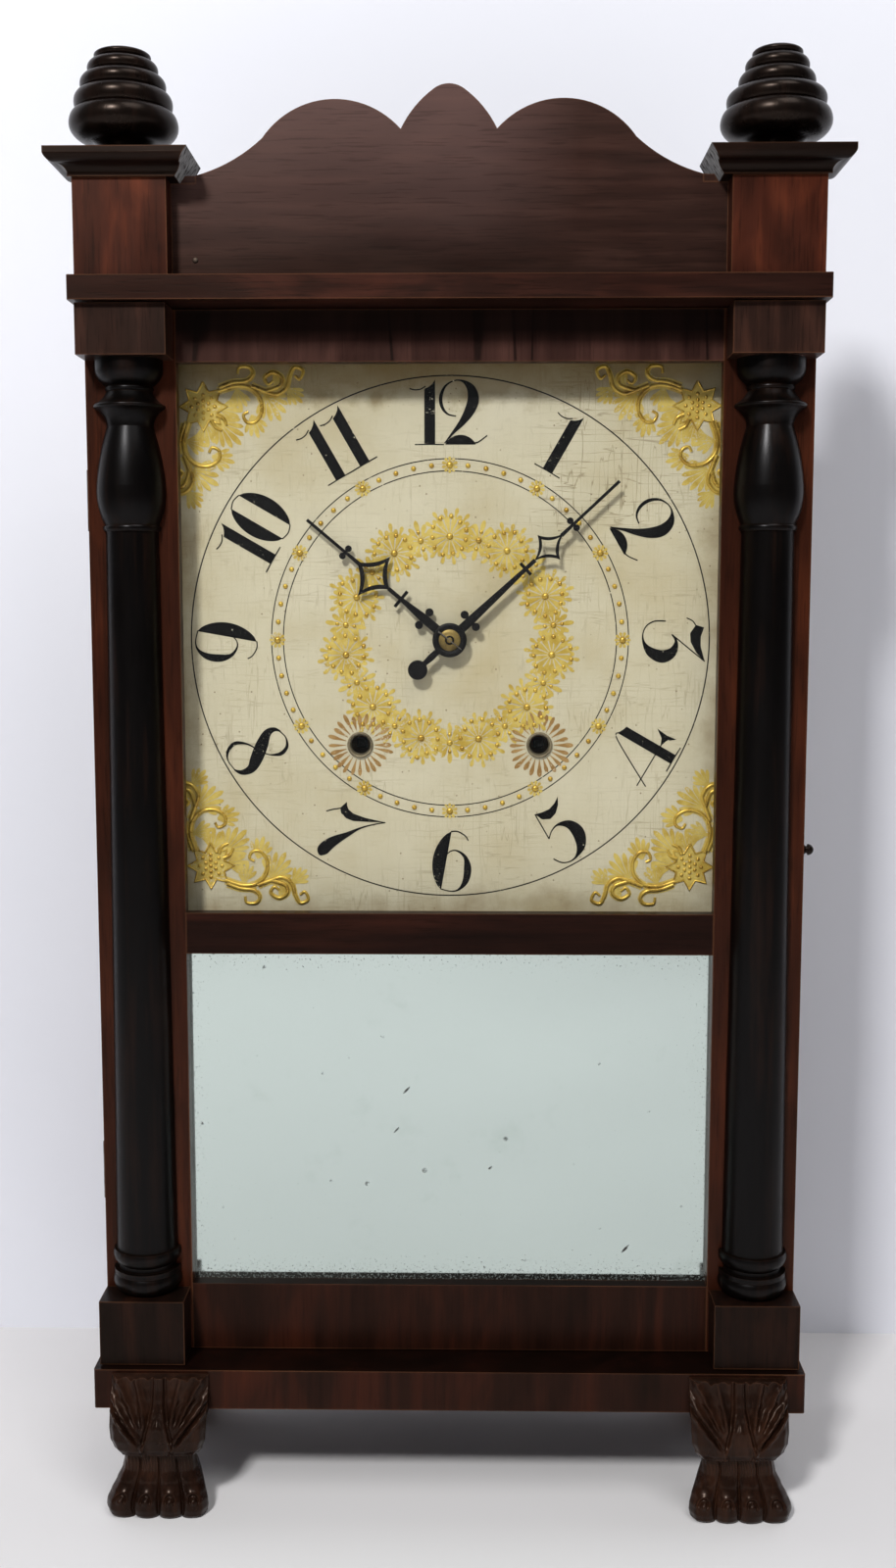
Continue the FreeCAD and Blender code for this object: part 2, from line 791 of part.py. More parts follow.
def make_finial(word, side, x, y):
    """A beehive finial of five turned rings."""
    rings = [(size.finial_ring_1_height, size.finial_ring_1_radius, size.finial_ring_1_bulge),
             (size.finial_ring_2_height, size.finial_ring_2_radius, size.finial_ring_2_bulge),
             (size.finial_ring_3_height, size.finial_ring_3_radius, size.finial_ring_3_bulge),
             (size.finial_ring_4_height, size.finial_ring_4_radius, size.finial_ring_4_bulge),
             (size.finial_ring_5_height, size.finial_ring_5_radius, size.finial_ring_5_bulge)]
    level = size.finial_bowl_height
    profile = [(NOTHING, NOTHING), (size.finial_foot_radius, NOTHING),
               (size.finial_bowl_radius, level, size.finial_bowl_bulge)]
    for height, radius, bulge in rings:
        level = level + height
        profile.append((radius, level, bulge))
    crown = level + size.finial_crown_height
    profile.append((size.finial_crown_flat, crown, size.finial_crown_bulge))
    profile.append((NOTHING, crown))
    name = word + "_finial"
    keep(name, turned(name, "XZ_Plane", "V_Axis", profile, (x * side, y, cap_top)))


# Feet

def paw_section(half_width, setback, inset=0.0):
    """Outline of a foot at one height, bowed across its front."""
    front = before(size.toe_reach) + setback
    back = before(size.toe_reach) + size.foot_depth
    half = half_width - inset
    heel = half - size.foot_back_inset
    return [(-heel, back), (-half, front + size.foot_front_bulge),
            (half, front + size.foot_front_bulge, size.foot_front_bulge), (heel, back)]


def loft(body, name, sections):
    """One lofted stretch of a foot through outlines at their heights."""
    sketches = []
    for number, (height, outline) in enumerate(sections):
        sketch = new_sketch(body, "XY_Plane", f"{name}_section_{number}", height)
        draw(sketch, outline)
        sketches.append(sketch)
    stretch = body.newObject("PartDesign::AdditiveLoft", name)
    stretch.Profile = sketches[0]
    stretch.Sections = sketches[1:]
    body.Tip = stretch


def make_front_foot(word, side):
    """A paw foot: toes, ankle, knee, and a leaf bracket lapped over the base board."""
    name = word + "_front_foot"
    body = doc.addObject("PartDesign::Body", name)
    loft(body, name + "_paw", [
        (NOTHING, paw_section(size.paw_half_width, NOTHING, size.paw_sole_inset)),
        (size.paw_height, paw_section(size.paw_half_width, NOTHING)),
        (size.instep_height, paw_section(size.instep_half_width, size.instep_setback)),
        (size.ankle_height, paw_section(size.ankle_half_width, size.ankle_setback))])
    loft(body, name + "_knee", [
        (size.ankle_height, paw_section(size.knee_foot_half_width, size.ankle_setback)),
        (size.knee_height, paw_section(size.knee_half_width, size.knee_setback)),
        (size.foot_height, paw_section(size.leaf_half_width, size.knee_setback))])
    leaf_back = before(size.base_reach)
    leaf_front = leaf_back - size.leaf_thickness
    half = size.leaf_half_width
    sketch = new_sketch(body, "XY_Plane", name + "_leaf_outline", size.foot_height)
    draw(sketch, [(-half, leaf_back), (-half, leaf_front + size.foot_front_bulge),
                  (half, leaf_front + size.foot_front_bulge, size.foot_front_bulge), (half, leaf_back)])
    leaf = body.newObject("PartDesign::Pad", name + "_leaf")
    leaf.Profile = sketch
    bind(leaf, "Length", size.base_thickness - size.leaf_top_gap)
    body.Tip = leaf
    sketch = new_sketch(body, "XY_Plane", name + "_groove_outline", size.ankle_height)
    for number in range(TOE_COUNT - 1):
        middle = size.toe_pitch * (number - (TOE_COUNT - 2) / 2)
        deep = before(size.toe_reach) + size.toe_groove_depth
        out = before(size.toe_reach) - size.toe_groove_depth
        draw(sketch, [(middle, deep), (middle - size.toe_groove_width, out),
                      (middle + size.toe_groove_width, out)])
    grooves = body.newObject("PartDesign::Pocket", name + "_toe_grooves")
    grooves.Profile = sketch
    bind(grooves, "Length", size.ankle_height)
    body.Tip = grooves
    bind(body, "Placement.Base.x", (half_base - size.foot_inset) * float(side))
    keep(name, body)


def make_feet():
    """Two carved front feet and two plain rear feet."""
    make_front_foot("left", -1)
    make_front_foot("right", 1)
    blocks = []
    back = case_back - size.rear_foot_inset
    outer = half_case - size.rear_foot_inset
    for word, low, high in (("left", -outer, size.rear_foot_width - outer),
                            ("right", outer - size.rear_foot_width, outer)):
        blocks.append(board(word + "_rear_foot", (low, high), (back - size.rear_foot_depth, back),
                            (NOTHING, size.foot_height)))
    keep("rear_feet", group("rear_feet", blocks))


# Door

def make_door():
    """The door frame with its glass, mirror and half columns."""
    rebate_face = door_back - size.rebate_depth
    rebate_low = mirror_low - size.rebate_width
    rebate_high = window_high + size.rebate_width
    rebate_out = half_opening + size.rebate_width
    for word, side in (("left", -1), ("right", 1)):
        name = word + "_stile"
        across = (-half_case, -half_opening) if side < 0 else (half_opening, half_case)
        blank = board(name + "_blank", across, (door_face, door_back), (door_bottom, door_top))
        across = (-rebate_out, -half_opening) if side < 0 else (half_opening, rebate_out)
        rebate = board(name + "_rebate", across, (rebate_face, door_back), (rebate_low, rebate_high))
        keep(name, cut(name, blank, [rebate]))

    rails = (("bottom_rail", door_bottom, mirror_low, False, True),
             ("middle_rail", mirror_high, window_low, True, True),
             ("top_rail", window_high, door_top, True, False))
    across = (-half_opening, half_opening)
    for name, low, high, under, over in rails:
        blank = board(name + "_blank", across, (door_face, door_back), (low, high))
        rebates = []
        if under:
            rebates.append(board(name + "_lower_rebate", across, (rebate_face, door_back),
                                 (low, low + size.rebate_width)))
        if over:
            rebates.append(board(name + "_upper_rebate", across, (rebate_face, door_back),
                                 (high - size.rebate_width, high)))
        keep(name, cut(name, blank, rebates))

    overlap = size.rebate_width - size.glass_clearance
    pane = (-(half_opening + overlap), half_opening + overlap)
    pane_back = rebate_face + size.glass_thickness
    mirror_span = (mirror_low - overlap, mirror_high + overlap)
    keep("upper_glass", board("upper_glass", pane, (rebate_face, pane_back),
                              (window_low - overlap, window_high + overlap)))
    keep("mirror_glass", board("mirror_glass", pane, (rebate_face, pane_back), mirror_span))
    keep("mirror_backboard", board("mirror_backboard", pane,
                                   (pane_back, pane_back + size.backboard_thickness), mirror_span))
    make_columns()
    make_knob()


def make_columns():
    """Half columns on the stiles, standing on base blocks and under capital blocks."""
    block_inner = half_case - size.column_block_width
    depth = (before(size.column_block_depth), door_face)
    base_block_top = door_bottom + size.base_block_height
    capital_bottom = door_top - size.capital_block_height
    for name, low, high in (("base_blocks", door_bottom, base_block_top),
                            ("capital_blocks", capital_bottom, door_top)):
        left = board("left_" + name, (-half_case, -block_inner), depth, (low, high))
        right = board("right_" + name, (block_inner, half_case), depth, (low, high))
        keep(name, group(name, [left, right]))

    fillet = size.column_torus_height + size.column_fillet_height
    neck = fillet + size.column_neck_height
    shaft_foot = neck + size.column_ring_height
    top = capital_bottom - base_block_top
    bulb_foot = top - size.column_bulb_drop - size.column_bulb_rise
    profile = [
        (NOTHING, NOTHING),
        (size.column_foot_radius, NOTHING),
        (size.column_torus_radius, size.column_torus_height, size.column_torus_bulge),
        (size.column_fillet_radius, size.column_torus_height),
        (size.column_fillet_radius, fillet),
        (size.column_neck_radius, fillet),
        (size.column_neck_radius, neck),
        (size.column_ring_radius, shaft_foot, size.column_ring_bulge),
        (size.column_shaft_foot_radius, shaft_foot),
        (size.column_shaft_top_radius, bulb_foot - size.column_bead_height),
        (size.column_bead_radius, bulb_foot - size.column_bead_height),
        (size.column_bead_radius, bulb_foot, size.column_bead_bulge),
        (size.column_bulb_foot_radius, bulb_foot),
        (size.column_bulb_radius, top - size.column_bulb_drop, size.column_bulb_bulge),
        (size.column_hollow_radius, top - size.column_hollow_drop, size.column_bulb_shoulder_bulge),
        (size.column_flange_radius, top - size.column_flange_drop - size.column_flange_thickness / 2,
         -size.column_hollow_bulge),
        (size.column_flange_radius, top - size.column_flange_drop + size.column_flange_thickness / 2,
         size.column_flange_bulge),
        (size.column_collar_radius, top - size.column_collar_drop, -size.column_hollow_bulge / 2),
        (size.column_collar_radius, top - size.column_collar_drop + size.column_collar_height,
         size.column_collar_bulge),
        (size.column_abacus_radius, top - size.column_abacus_thickness, size.column_abacus_bulge),
        (size.column_abacus_radius, top),
        (NOTHING, top),
    ]
    axis_x = half_case - size.column_block_width / 2
    for word, x in (("left", -axis_x), ("right", axis_x)):
        name = word + "_column"
        keep(name, turned(name, "XZ_Plane", "V_Axis", profile, (x, door_face, base_block_top), half=True))


def make_knob():
    """A small turned knob on the free edge of the door."""
    neck = size.knob_base_depth + size.knob_neck_length
    profile = [
        (NOTHING, size.knob_base_radius),
        (NOTHING, NOTHING),
        (neck + size.knob_ball_length, NOTHING),
        (neck, size.knob_ball_radius, size.knob_ball_bulge),
        (neck, size.knob_neck_radius),
        (size.knob_base_depth, size.knob_neck_radius),
    ]
    place = (half_case, behind(size.door_thickness / 2), door_bottom + size.knob_rise)
    keep("door_knob", turned("door_knob", "XY_Plane", "H_Axis", profile, place))


def make_hinges():
    """Two butt hinges: leaves in the gap between door and case, knuckles beside the edge."""
    axis_x = -(half_case + size.hinge_knuckle_offset)
    axis_y = door_back + size.hinge_gap / 2
    third = size.hinge_length / 3
    leaf_edge = axis_x + size.hinge_knuckle_radius + size.hinge_end_gap
    leaf = (leaf_edge, leaf_edge + size.hinge_leaf_width)
    tongue = (axis_x, leaf_edge)
    case_side = (case_front - size.hinge_leaf_thickness, case_front)
    door_side = (door_back, door_back + size.hinge_leaf_thickness)
    fixed = []
    moving = []
    for word, low in (("lower", door_bottom + size.hinge_inset),
                      ("upper", door_top - size.hinge_inset - size.hinge_length)):
        middle = (low + third + size.hinge_end_gap, low + third * 2 - size.hinge_end_gap)
        high = low + size.hinge_length
        pieces = [board(word + "_case_leaf", leaf, case_side, (low, high))]
        for part, span in (("foot", (low, low + third)), ("head", (low + third * 2, high))):
            pieces.append(board(f"{word}_{part}_tongue", tongue, case_side, span))
            pieces.append(rod_along_z(f"{word}_{part}_knuckle", size.hinge_knuckle_radius, axis_x, axis_y, *span))
        pieces.append(rod_along_z(word + "_hinge_pin", size.hinge_pin_radius, axis_x, axis_y, low, high))
        fixed.append(fuse(word + "_case_hinge", pieces))
        pieces = [board(word + "_door_leaf", leaf, door_side, (low, high)),
                  board(word + "_door_tongue", tongue, door_side, middle),
                  rod_along_z(word + "_door_knuckle", size.hinge_knuckle_radius, axis_x, axis_y, *middle)]
        bore = rod_along_z(word + "_knuckle_bore", size.hinge_pin_radius + size.running_clearance,
                           axis_x, axis_y, *middle)
        moving.append(cut(word + "_door_hinge", fuse(word + "_door_hinge_blank", pieces), [bore]))
    keep("case_hinge_leaves", group("case_hinge_leaves", fixed))
    keep("door_hinge_leaves", group("door_hinge_leaves", moving))


# Movement: places of the arbors across X and up Z

time_winding = (size.winding_spread, centre_z - size.winding_drop)
strike_winding = (-size.winding_spread, centre_z - size.winding_drop)
centre = (NOTHING, centre_z)
third = (size.third_x, centre_z + size.third_rise)
escape = (NOTHING, centre_z + size.escape_rise)
verge = (NOTHING, centre_z + size.verge_rise)
motion = (size.minute_wheel_x, centre_z - size.minute_wheel_drop)
pin_wheel = (-size.pin_wheel_x, centre_z + size.pin_wheel_rise)
fly = (-size.fly_x, centre_z + size.fly_rise)
count_wheel = (-size.count_wheel_x, centre_z + size.count_wheel_rise)
hammer = (-size.hammer_x, centre_z + size.hammer_rise)


def gap_between(first, second):
    """Distance and direction from one arbor to another."""
    across = float(second[0]) - float(first[0])
    up = float(second[1]) - float(first[1])
    return math.hypot(across, up), math.atan2(up, across)


def tooth_outline(teeth, module, phase, leaf):
    """Corner points of a wheel's or a pinion's teeth, about its arbor."""
    pitch = 2 * math.pi / teeth
    radius = teeth * module / 2
    if leaf:
        low, high = radius - LEAF_DEDENDUM * module, radius + LEAF_ADDENDUM * module
        corners = ((low, -LEAF_ROOT), (high, -LEAF_TIP), (high, LEAF_TIP), (low, LEAF_ROOT))
    else:
        low, high = radius - WHEEL_DEDENDUM * module, radius + WHEEL_ADDENDUM * module
        corners = ((low, -1.0), (high, -WHEEL_TIP), (high, WHEEL_TIP))
    points = []
    for number in range(teeth):
        for reach, share in corners:
            angle = phase + (number + share / 2) * pitch
            points.append((reach * math.cos(angle), reach * math.sin(angle)))
    return points


def slab(points, front, back):
    """A flat plate of one outline in the plane of the dial."""
    corners = [FreeCAD.Vector(x, float(front), z) for x, z in points]
    face = Part.Face(Part.makePolygon(corners + corners[:1]))
    return face.extrude(FreeCAD.Vector(0, float(back) - float(front), 0))


def disc(radius, front, back):
    """A round plate or arbor about its own axis."""
    return Part.makeCylinder(float(radius), float(back) - float(front), FreeCAD.Vector(0, float(front), 0),
                             FreeCAD.Vector(0, 1, 0))


def mesh(wheel_at, wheel_teeth, leaf_at, leaf_teeth):
    """Tooth outlines of a wheel and the pinion it meets, in mesh at rest."""
    distance, angle = gap_between(wheel_at, leaf_at)
    module = 2 * distance / (wheel_teeth + leaf_teeth)
    wheel_points = tooth_outline(wheel_teeth, module, angle, False)
    leaf_points = tooth_outline(leaf_teeth, module, angle + math.pi + math.pi / leaf_teeth, True)
    return wheel_points, leaf_points


def one_piece(shapes):
    """Coaxial slabs joined into one turned and cut piece."""
    joined = shapes[0].fuse(shapes[1:])
    return joined.removeSplitter()


def at(arbor):
    """The place of an arbor, with depths kept in the shape."""
    return arbor[0], NOTHING, arbor[1]


def make_going_train():
    """Great wheel, centre arbor, third wheel and escape wheel of the time side."""
    through = (plate_face, back_plate_back)
    great_points, great_leaf = mesh(time_winding, GREAT_TOOTH_COUNT, centre, GREAT_LEAF_COUNT)
    centre_points, third_leaf = mesh(centre, CENTRE_TOOTH_COUNT, third, TRAIN_LEAF_COUNT)
    third_points, escape_leaf = mesh(third, THIRD_TOOTH_COUNT, escape, TRAIN_LEAF_COUNT)
    minute_points, cannon_leaf = mesh(motion, MINUTE_TOOTH_COUNT, centre, MOTION_LEAF_COUNT)
    hour_points, minute_leaf = mesh(centre, HOUR_TOOTH_COUNT, motion, MOTION_LEAF_COUNT)
    cannon_back = plate_face - size.motion_front_gap
    cannon_front = cannon_back - size.wheel_thickness
    hour_back = cannon_front - size.motion_layer_gap
    hour_front = hour_back - size.wheel_thickness
    hour_hand_back = behind(hour_hand_setback + size.hand_thickness)
    minute_hand_face = behind(minute_hand_setback)

    bore = size.winding_arbor_radius + size.running_clearance
    for name, place, points, level in (
            ("time_great_wheel", time_winding, great_points, 3),
            ("strike_great_wheel", strike_winding, mesh(strike_winding, GREAT_TOOTH_COUNT, pin_wheel, GREAT_LEAF_COUNT)[0], 4)):
        front, back = layer(level)
        keep(name, solid(name, slab(points, front, back).cut(disc(bore, front, back)), at(place)))

    keep("minute_arbor", solid("minute_arbor", one_piece([
        disc(size.minute_arbor_radius, minute_hand_face, back_plate_back),
        slab(centre_points, *layer(1)),
        slab(great_leaf, *layer(3)),
        slab(cannon_leaf, cannon_front, cannon_back)]), at(centre)))
    keep("third_wheel", solid("third_wheel", one_piece([
        disc(size.arbor_radius, *through),
        slab(third_leaf, *layer(1)),
        slab(third_points, *layer(2))]), at(third)))
    keep("escape_wheel", solid("escape_wheel", one_piece([
        disc(size.arbor_radius, *through),
        slab(escape_leaf, *layer(2)),
        escape_crown()]), at(escape)))
    keep("minute_wheel", solid("minute_wheel", one_piece([
        disc(size.arbor_radius, hour_front, movement_front),
        slab(minute_points, cannon_front, cannon_back),
        slab(minute_leaf, hour_front, hour_back)]), at(motion)))
    pipe_bore = disc(size.minute_arbor_radius + size.hour_pipe_fit, hour_hand_back - size.hand_thickness, hour_back)
    pipe = one_piece([disc(size.hour_pipe_radius, hour_hand_back - size.hand_thickness, hour_back),
                      slab(hour_points, hour_front, hour_back)])
    keep("hour_wheel", solid("hour_wheel", pipe.cut(pipe_bore), at(centre)))


def escape_crown():
    """The thin escape wheel: hooked teeth on a rim with a cross of spokes."""
    front, _ = layer(0)
    back = front + size.escape_thickness
    pitch = 2 * math.pi / ESCAPE_TOOTH_COUNT
    tip = float(size.escape_radius)
    root = tip - float(size.escape_tooth_depth)
    points = []
    for number in range(ESCAPE_TOOTH_COUNT):
        angle = number * pitch
        points.append((tip * math.cos(angle), tip * math.sin(angle)))
        points.append((root * math.cos(angle + pitch / 8), root * math.sin(angle + pitch / 8)))
    inner = root - float(size.escape_rim)
    half = float(size.arbor_radius)
    rim = slab(points, front, back).cut(disc(inner, front, back))
    bar = slab([(-root, -half), (root, -half), (root, half), (-root, half)], front, back)
    post = slab([(-half, -root), (half, -root), (half, root), (-half, root)], front, back)
    return rim.fuse([bar, post])


def make_drums():
    """Winding drums on squared arbors, loose in the great wheels."""
    front, _ = layer(0)
    _, back = layer(2)
    side = float(size.winding_square) / 2
    square_front = plate_face - size.winding_square_length
    square = [(-side, -side), (side, -side), (side, side), (-side, side)]
    flange = size.drum_flange_thickness
    for name, place in (("time_drum", time_winding), ("strike_drum", strike_winding)):
        keep(name, solid(name, one_piece([
            disc(size.winding_arbor_radius, plate_face, back_plate_back),
            slab(square, square_front, plate_face),
            disc(size.drum_radius, front, back),
            disc(size.drum_flange_radius, front, front + flange),
            disc(size.drum_flange_radius, back - flange, back)]), at(place)))


def make_strike_train():
    """Pin wheel, fly, count wheel and hammer of the strike side, and the bell."""
    through = (plate_face, back_plate_back)
    _, great_leaf = mesh(strike_winding, GREAT_TOOTH_COUNT, pin_wheel, GREAT_LEAF_COUNT)
    pin_points, fly_leaf = mesh(pin_wheel, PIN_WHEEL_TOOTH_COUNT, fly, TRAIN_LEAF_COUNT)
    count_points, count_leaf = mesh(count_wheel, COUNTING_TOOTH_COUNT, pin_wheel, COUNTING_LEAF_COUNT)
    count_back = plate_face - size.motion_front_gap
    count_front = count_back - size.wheel_thickness

    wheel_front, wheel_back = layer(2)
    pin_end, _ = layer(4)
    shapes = [disc(size.arbor_radius, count_front, back_plate_back),
              slab(count_leaf, count_front, count_back),
              slab(pin_points, wheel_front, wheel_back),
              slab(great_leaf, *layer(4))]
    for number in range(LIFTING_PIN_COUNT):
        angle = 2 * math.pi * number / LIFTING_PIN_COUNT
        reach = float(size.lifting_pin_ring)
        pin = disc(size.lifting_pin_radius, wheel_front, pin_end - size.layer_margin)
        pin.translate(FreeCAD.Vector(reach * math.cos(angle), 0, reach * math.sin(angle)))
        shapes.append(pin)
    keep("pin_wheel", solid("pin_wheel", one_piece(shapes), at(pin_wheel)))

    long = float(size.fly_half_length)
    thin = float(size.fly_half_thickness)
    vane = [(-long, -thin), (long, -thin), (long, thin), (-long, thin)]
    keep("strike_fly", solid("strike_fly", one_piece([
        disc(size.arbor_radius, *through),
        slab(fly_leaf, wheel_front, wheel_back),
        slab(vane, *layer(0))]), at(fly)))
    keep("count_wheel", solid("count_wheel", one_piece([
        disc(size.arbor_radius, count_front, movement_front),
        slab(count_points, count_front, count_back)]), at(count_wheel)))
    make_bell_and_hammer(through)


def make_bell_and_hammer(through):
    """A bell on a stand behind the movement's top, and the hammer that meets its rim."""
    crown_y = back_face - size.bell_stand_length
    rim_y = crown_y - size.bell_depth
    wall = size.bell_wall
    profile = [
        (size.bell_hole_radius, crown_y),
        (size.bell_hole_radius, crown_y - wall),
        (size.bell_crown_radius - wall, crown_y - wall),
        (size.bell_radius - wall, rim_y, -size.bell_bulge),
        (size.bell_radius, rim_y),
        (size.bell_crown_radius, crown_y, size.bell_bulge),
    ]
    keep("bell", turned("bell", "XY_Plane", "V_Axis", profile, (NOTHING, NOTHING, bell_z)))
    half = size.bell_stand_half_width
    plate = board("bell_stand_plate", (-half, half), (back_face - size.bell_stand_plate, back_face),
                  (bell_z - size.bell_stand_below, bell_z + half))
    post = rod_along_y("bell_stand_post", size.bell_hole_radius + wall, NOTHING, bell_z, crown_y, back_face)
    stud = rod_along_y("bell_stand_stud", size.bell_hole_radius - size.running_clearance, NOTHING, bell_z,
                       crown_y - wall * 2, crown_y)
    keep("bell_stand", fuse("bell_stand", [plate, post, stud]))

    arm_y = float(layer(3)[0] + size.wheel_thickness / 2)
    distance, angle = gap_between(hammer, (NOTHING, bell_z))
    head_reach = float(size.bell_radius + size.hammer_head_gap + size.hammer_head_radius)
    head = math.sqrt(distance ** 2 - head_reach ** 2)
    angle = angle + math.asin(head_reach / distance)
    radius = float(size.hammer_arm_radius)
    along = FreeCAD.Vector(math.cos(angle), 0, math.sin(angle))
    middle = FreeCAD.Vector(0, arm_y, 0)
    arm = Part.makeCylinder(radius, head, middle, along)
    distance, angle = gap_between(hammer, pin_wheel)
    pin_reach = float(size.lifting_pin_ring + size.lifting_pin_radius + size.hammer_tail_gap) + radius
    tail_way = FreeCAD.Vector(math.cos(angle), 0, math.sin(angle))
    tail = Part.makeCylinder(radius, distance - pin_reach, middle, tail_way)
    knob = Part.makeCylinder(float(size.hammer_head_radius), float(size.hammer_head_length),
                             middle + along * head - FreeCAD.Vector(0, float(size.hammer_head_length) / 2, 0),
                             FreeCAD.Vector(0, 1, 0))
    keep("hammer", solid("hammer", one_piece([disc(size.arbor_radius, *through), arm, tail, knob]), at(hammer)))


def make_escapement():
    """Verge with its anchor and crutch, and the pendulum hung on the peg behind it."""
    span = float(size.pallet_half_span)
    drop = float(size.pallet_drop)
    width = float(size.pallet_width)
    hub = float(size.anchor_hub_radius)
    half_anchor = [(0.0, hub), (span + width, width - drop), (span + width, -drop), (span, -drop - width)]
    lower = [(span - width / 2, -drop), (hub, -hub / 2)]
    right = half_anchor + lower
    points = right + [(-x, z) for x, z in reversed(right[1:])]
    crutch_front = back_plate_back + size.crutch_gap
    crutch_back = crutch_front + size.crutch_thickness
    half = float(size.crutch_half_width)
    length = float(size.crutch_length)
    slot = float(size.pendulum_rod_radius + size.crutch_slot_gap)
    thick = float(size.crutch_prong_width)
    top = float(size.crutch_prong_height) - length
    prong_back = crutch_back + size.crutch_prong_length
    outer = slot + thick
    foot = [(-outer, -length), (outer, -length), (outer, top), (-outer, top)]
    bar = [(-half, top), (half, top), (half, hub), (-half, hub)]
    shapes = [disc(size.arbor_radius, plate_face, crutch_back), slab(points, *layer(0)),
              slab(bar, crutch_front, crutch_back), slab(foot, crutch_front, crutch_back)]
    for side in (-1, 1):
        prong = [(side * slot, -length), (side * outer, -length), (side * outer, top), (side * slot, top)]
        shapes.append(slab(prong, crutch_front, prong_back))
    keep("verge", solid("verge", one_piece(shapes), at(verge)))

    eye_back = back_face - size.pendulum_back_gap
    eye_front = eye_back - size.pendulum_eye_thickness
    rod_y = (eye_front + eye_back) / 2
    axis_z = verge[1]
    eye = rod_along_y("pendulum_eye", size.suspension_eye_radius, NOTHING, axis_z, eye_front, eye_back)
    bob_z = axis_z - size.pendulum_length
    tail_z = bob_z - size.pendulum_tail
    rod = rod_along_z("pendulum_wire", size.pendulum_rod_radius, NOTHING, rod_y, tail_z,
                      axis_z - size.suspension_peg_radius * 2)
    nut = rod_along_z("rating_nut", size.rating_nut_radius, NOTHING, rod_y,
                      bob_z - size.bob_radius - size.rating_nut_height, bob_z - size.bob_radius)
    hole = rod_along_y("pendulum_eye_bore", size.suspension_peg_radius + size.running_clearance, NOTHING, axis_z,
                       eye_front, eye_back)
    keep("pendulum_rod", cut("pendulum_rod", fuse("pendulum_blank", [eye, rod, nut]), [hole]))

    half_edge = size.bob_edge / 2
    face = half_edge + size.bob_swell
    profile = [
        (NOTHING, face),
        (NOTHING, -face),
        (size.bob_flat, -face),
        (size.bob_radius, -half_edge, size.bob_bulge),
        (size.bob_radius, half_edge),
        (size.bob_flat, face, size.bob_bulge),
    ]
    bob = turned("bob_blank", "XY_Plane", "V_Axis", profile, (NOTHING, rod_y - size.bob_forward, bob_z))
    bore = rod_along_z("bob_bore", size.pendulum_rod_radius + size.hand_fit, NOTHING, rod_y,
                       bob_z - size.bob_radius, bob_z + size.bob_radius)
    keep("pendulum_bob", cut("pendulum_bob", bob, [bore]))


def make_plates():
    """Front and back plates with bored pivots, the back plate carrying four pillars."""
    across = (-half_plate, half_plate)
    height = (plate_low, plate_high)
    thin = size.arbor_radius + size.running_clearance
    thick = size.winding_arbor_radius + size.running_clearance
    middle = size.minute_arbor_radius + size.running_clearance
    both = [("centre", centre, middle), ("time_winding", time_winding, thick),
            ("strike_winding", strike_winding, thick), ("third", third, thin), ("escape", escape, thin),
            ("verge", verge, thin), ("pin_wheel", pin_wheel, thin), ("fly", fly, thin), ("hammer", hammer, thin)]
    front_only = [("minute_wheel", motion, thin), ("count_wheel", count_wheel, thin)]

    front = board("front_plate_blank", across, (plate_face, movement_front), height)
    bores = [rod_along_y(f"front_{name}_bore", radius, place[0], place[1], plate_face, movement_front)
             for name, place, radius in both + front_only]
    keep("front_plate", cut("front_plate", front, bores))

    pieces = [board("back_plate_panel", across, (movement_back, back_plate_back), height)]
    for x, z, word in ((half_plate - size.top_pillar_side, plate_high - size.top_pillar_inset, "top"),
                       (half_plate - size.bottom_pillar_side, plate_low + size.bottom_pillar_inset, "bottom")):
        pieces.append(rod_along_y(word + "_right_pillar", size.pillar_radius, x, z, movement_front, movement_back))
        pieces.append(rod_along_y(word + "_left_pillar", size.pillar_radius, -x, z, movement_front, movement_back))
    bores = [rod_along_y(f"back_{name}_bore", radius, place[0], place[1], movement_back, back_plate_back)
             for name, place, radius in both]
    keep("back_plate", cut("back_plate", fuse("back_plate_blank", pieces), bores))


def make_dial():
    """The dial board, bored for the hands and the winding key."""
    inside = half_case - size.side_thickness - size.dial_fit_gap
    height = (window_low - size.dial_lap, window_high + size.dial_lap)
    blank = board("dial_blank", (-inside, inside), (dial_face, dial_back), height)
    bores = [rod_along_y("hand_hole", size.hand_hole_radius, NOTHING, centre_z, dial_face, dial_back)]
    for word, place in (("time", time_winding), ("strike", strike_winding)):
        bores.append(rod_along_y(word + "_key_hole", size.winding_hole_radius, place[0], place[1],
                                 dial_face, dial_back))
    keep("dial", cut("dial", blank, bores))


# Hands

def hollow_diamond(start, middle, end, half, rim, front, back):
    """A diamond frame with sides that curve inward."""
    def wire(inset):
        low, high = start + inset * 1.6, end - inset * 1.6
        wide = half - inset * 1.6
        corners = [(0.0, low), (wide, middle), (0.0, high), (-wide, middle)]
        edges = []
        for (x0, z0), (x1, z1) in zip(corners, corners[1:] + corners[:1]):
            hollow = float(size.diamond_hollow) * wide / half / math.hypot(x1 - x0, z1 - z0)
            bend = FreeCAD.Vector((x0 + x1) / 2 - (z1 - z0) * hollow, float(front),
                                  (z0 + z1) / 2 + (x1 - x0) * hollow)
            edges.append(Part.Arc(FreeCAD.Vector(x0, float(front), z0), bend,
                                  FreeCAD.Vector(x1, float(front), z1)).toShape())
        return Part.Face(Part.Wire(edges))
    way = FreeCAD.Vector(0, float(back) - float(front), 0)
    return wire(0.0).extrude(way).cut(wire(rim).extrude(way))


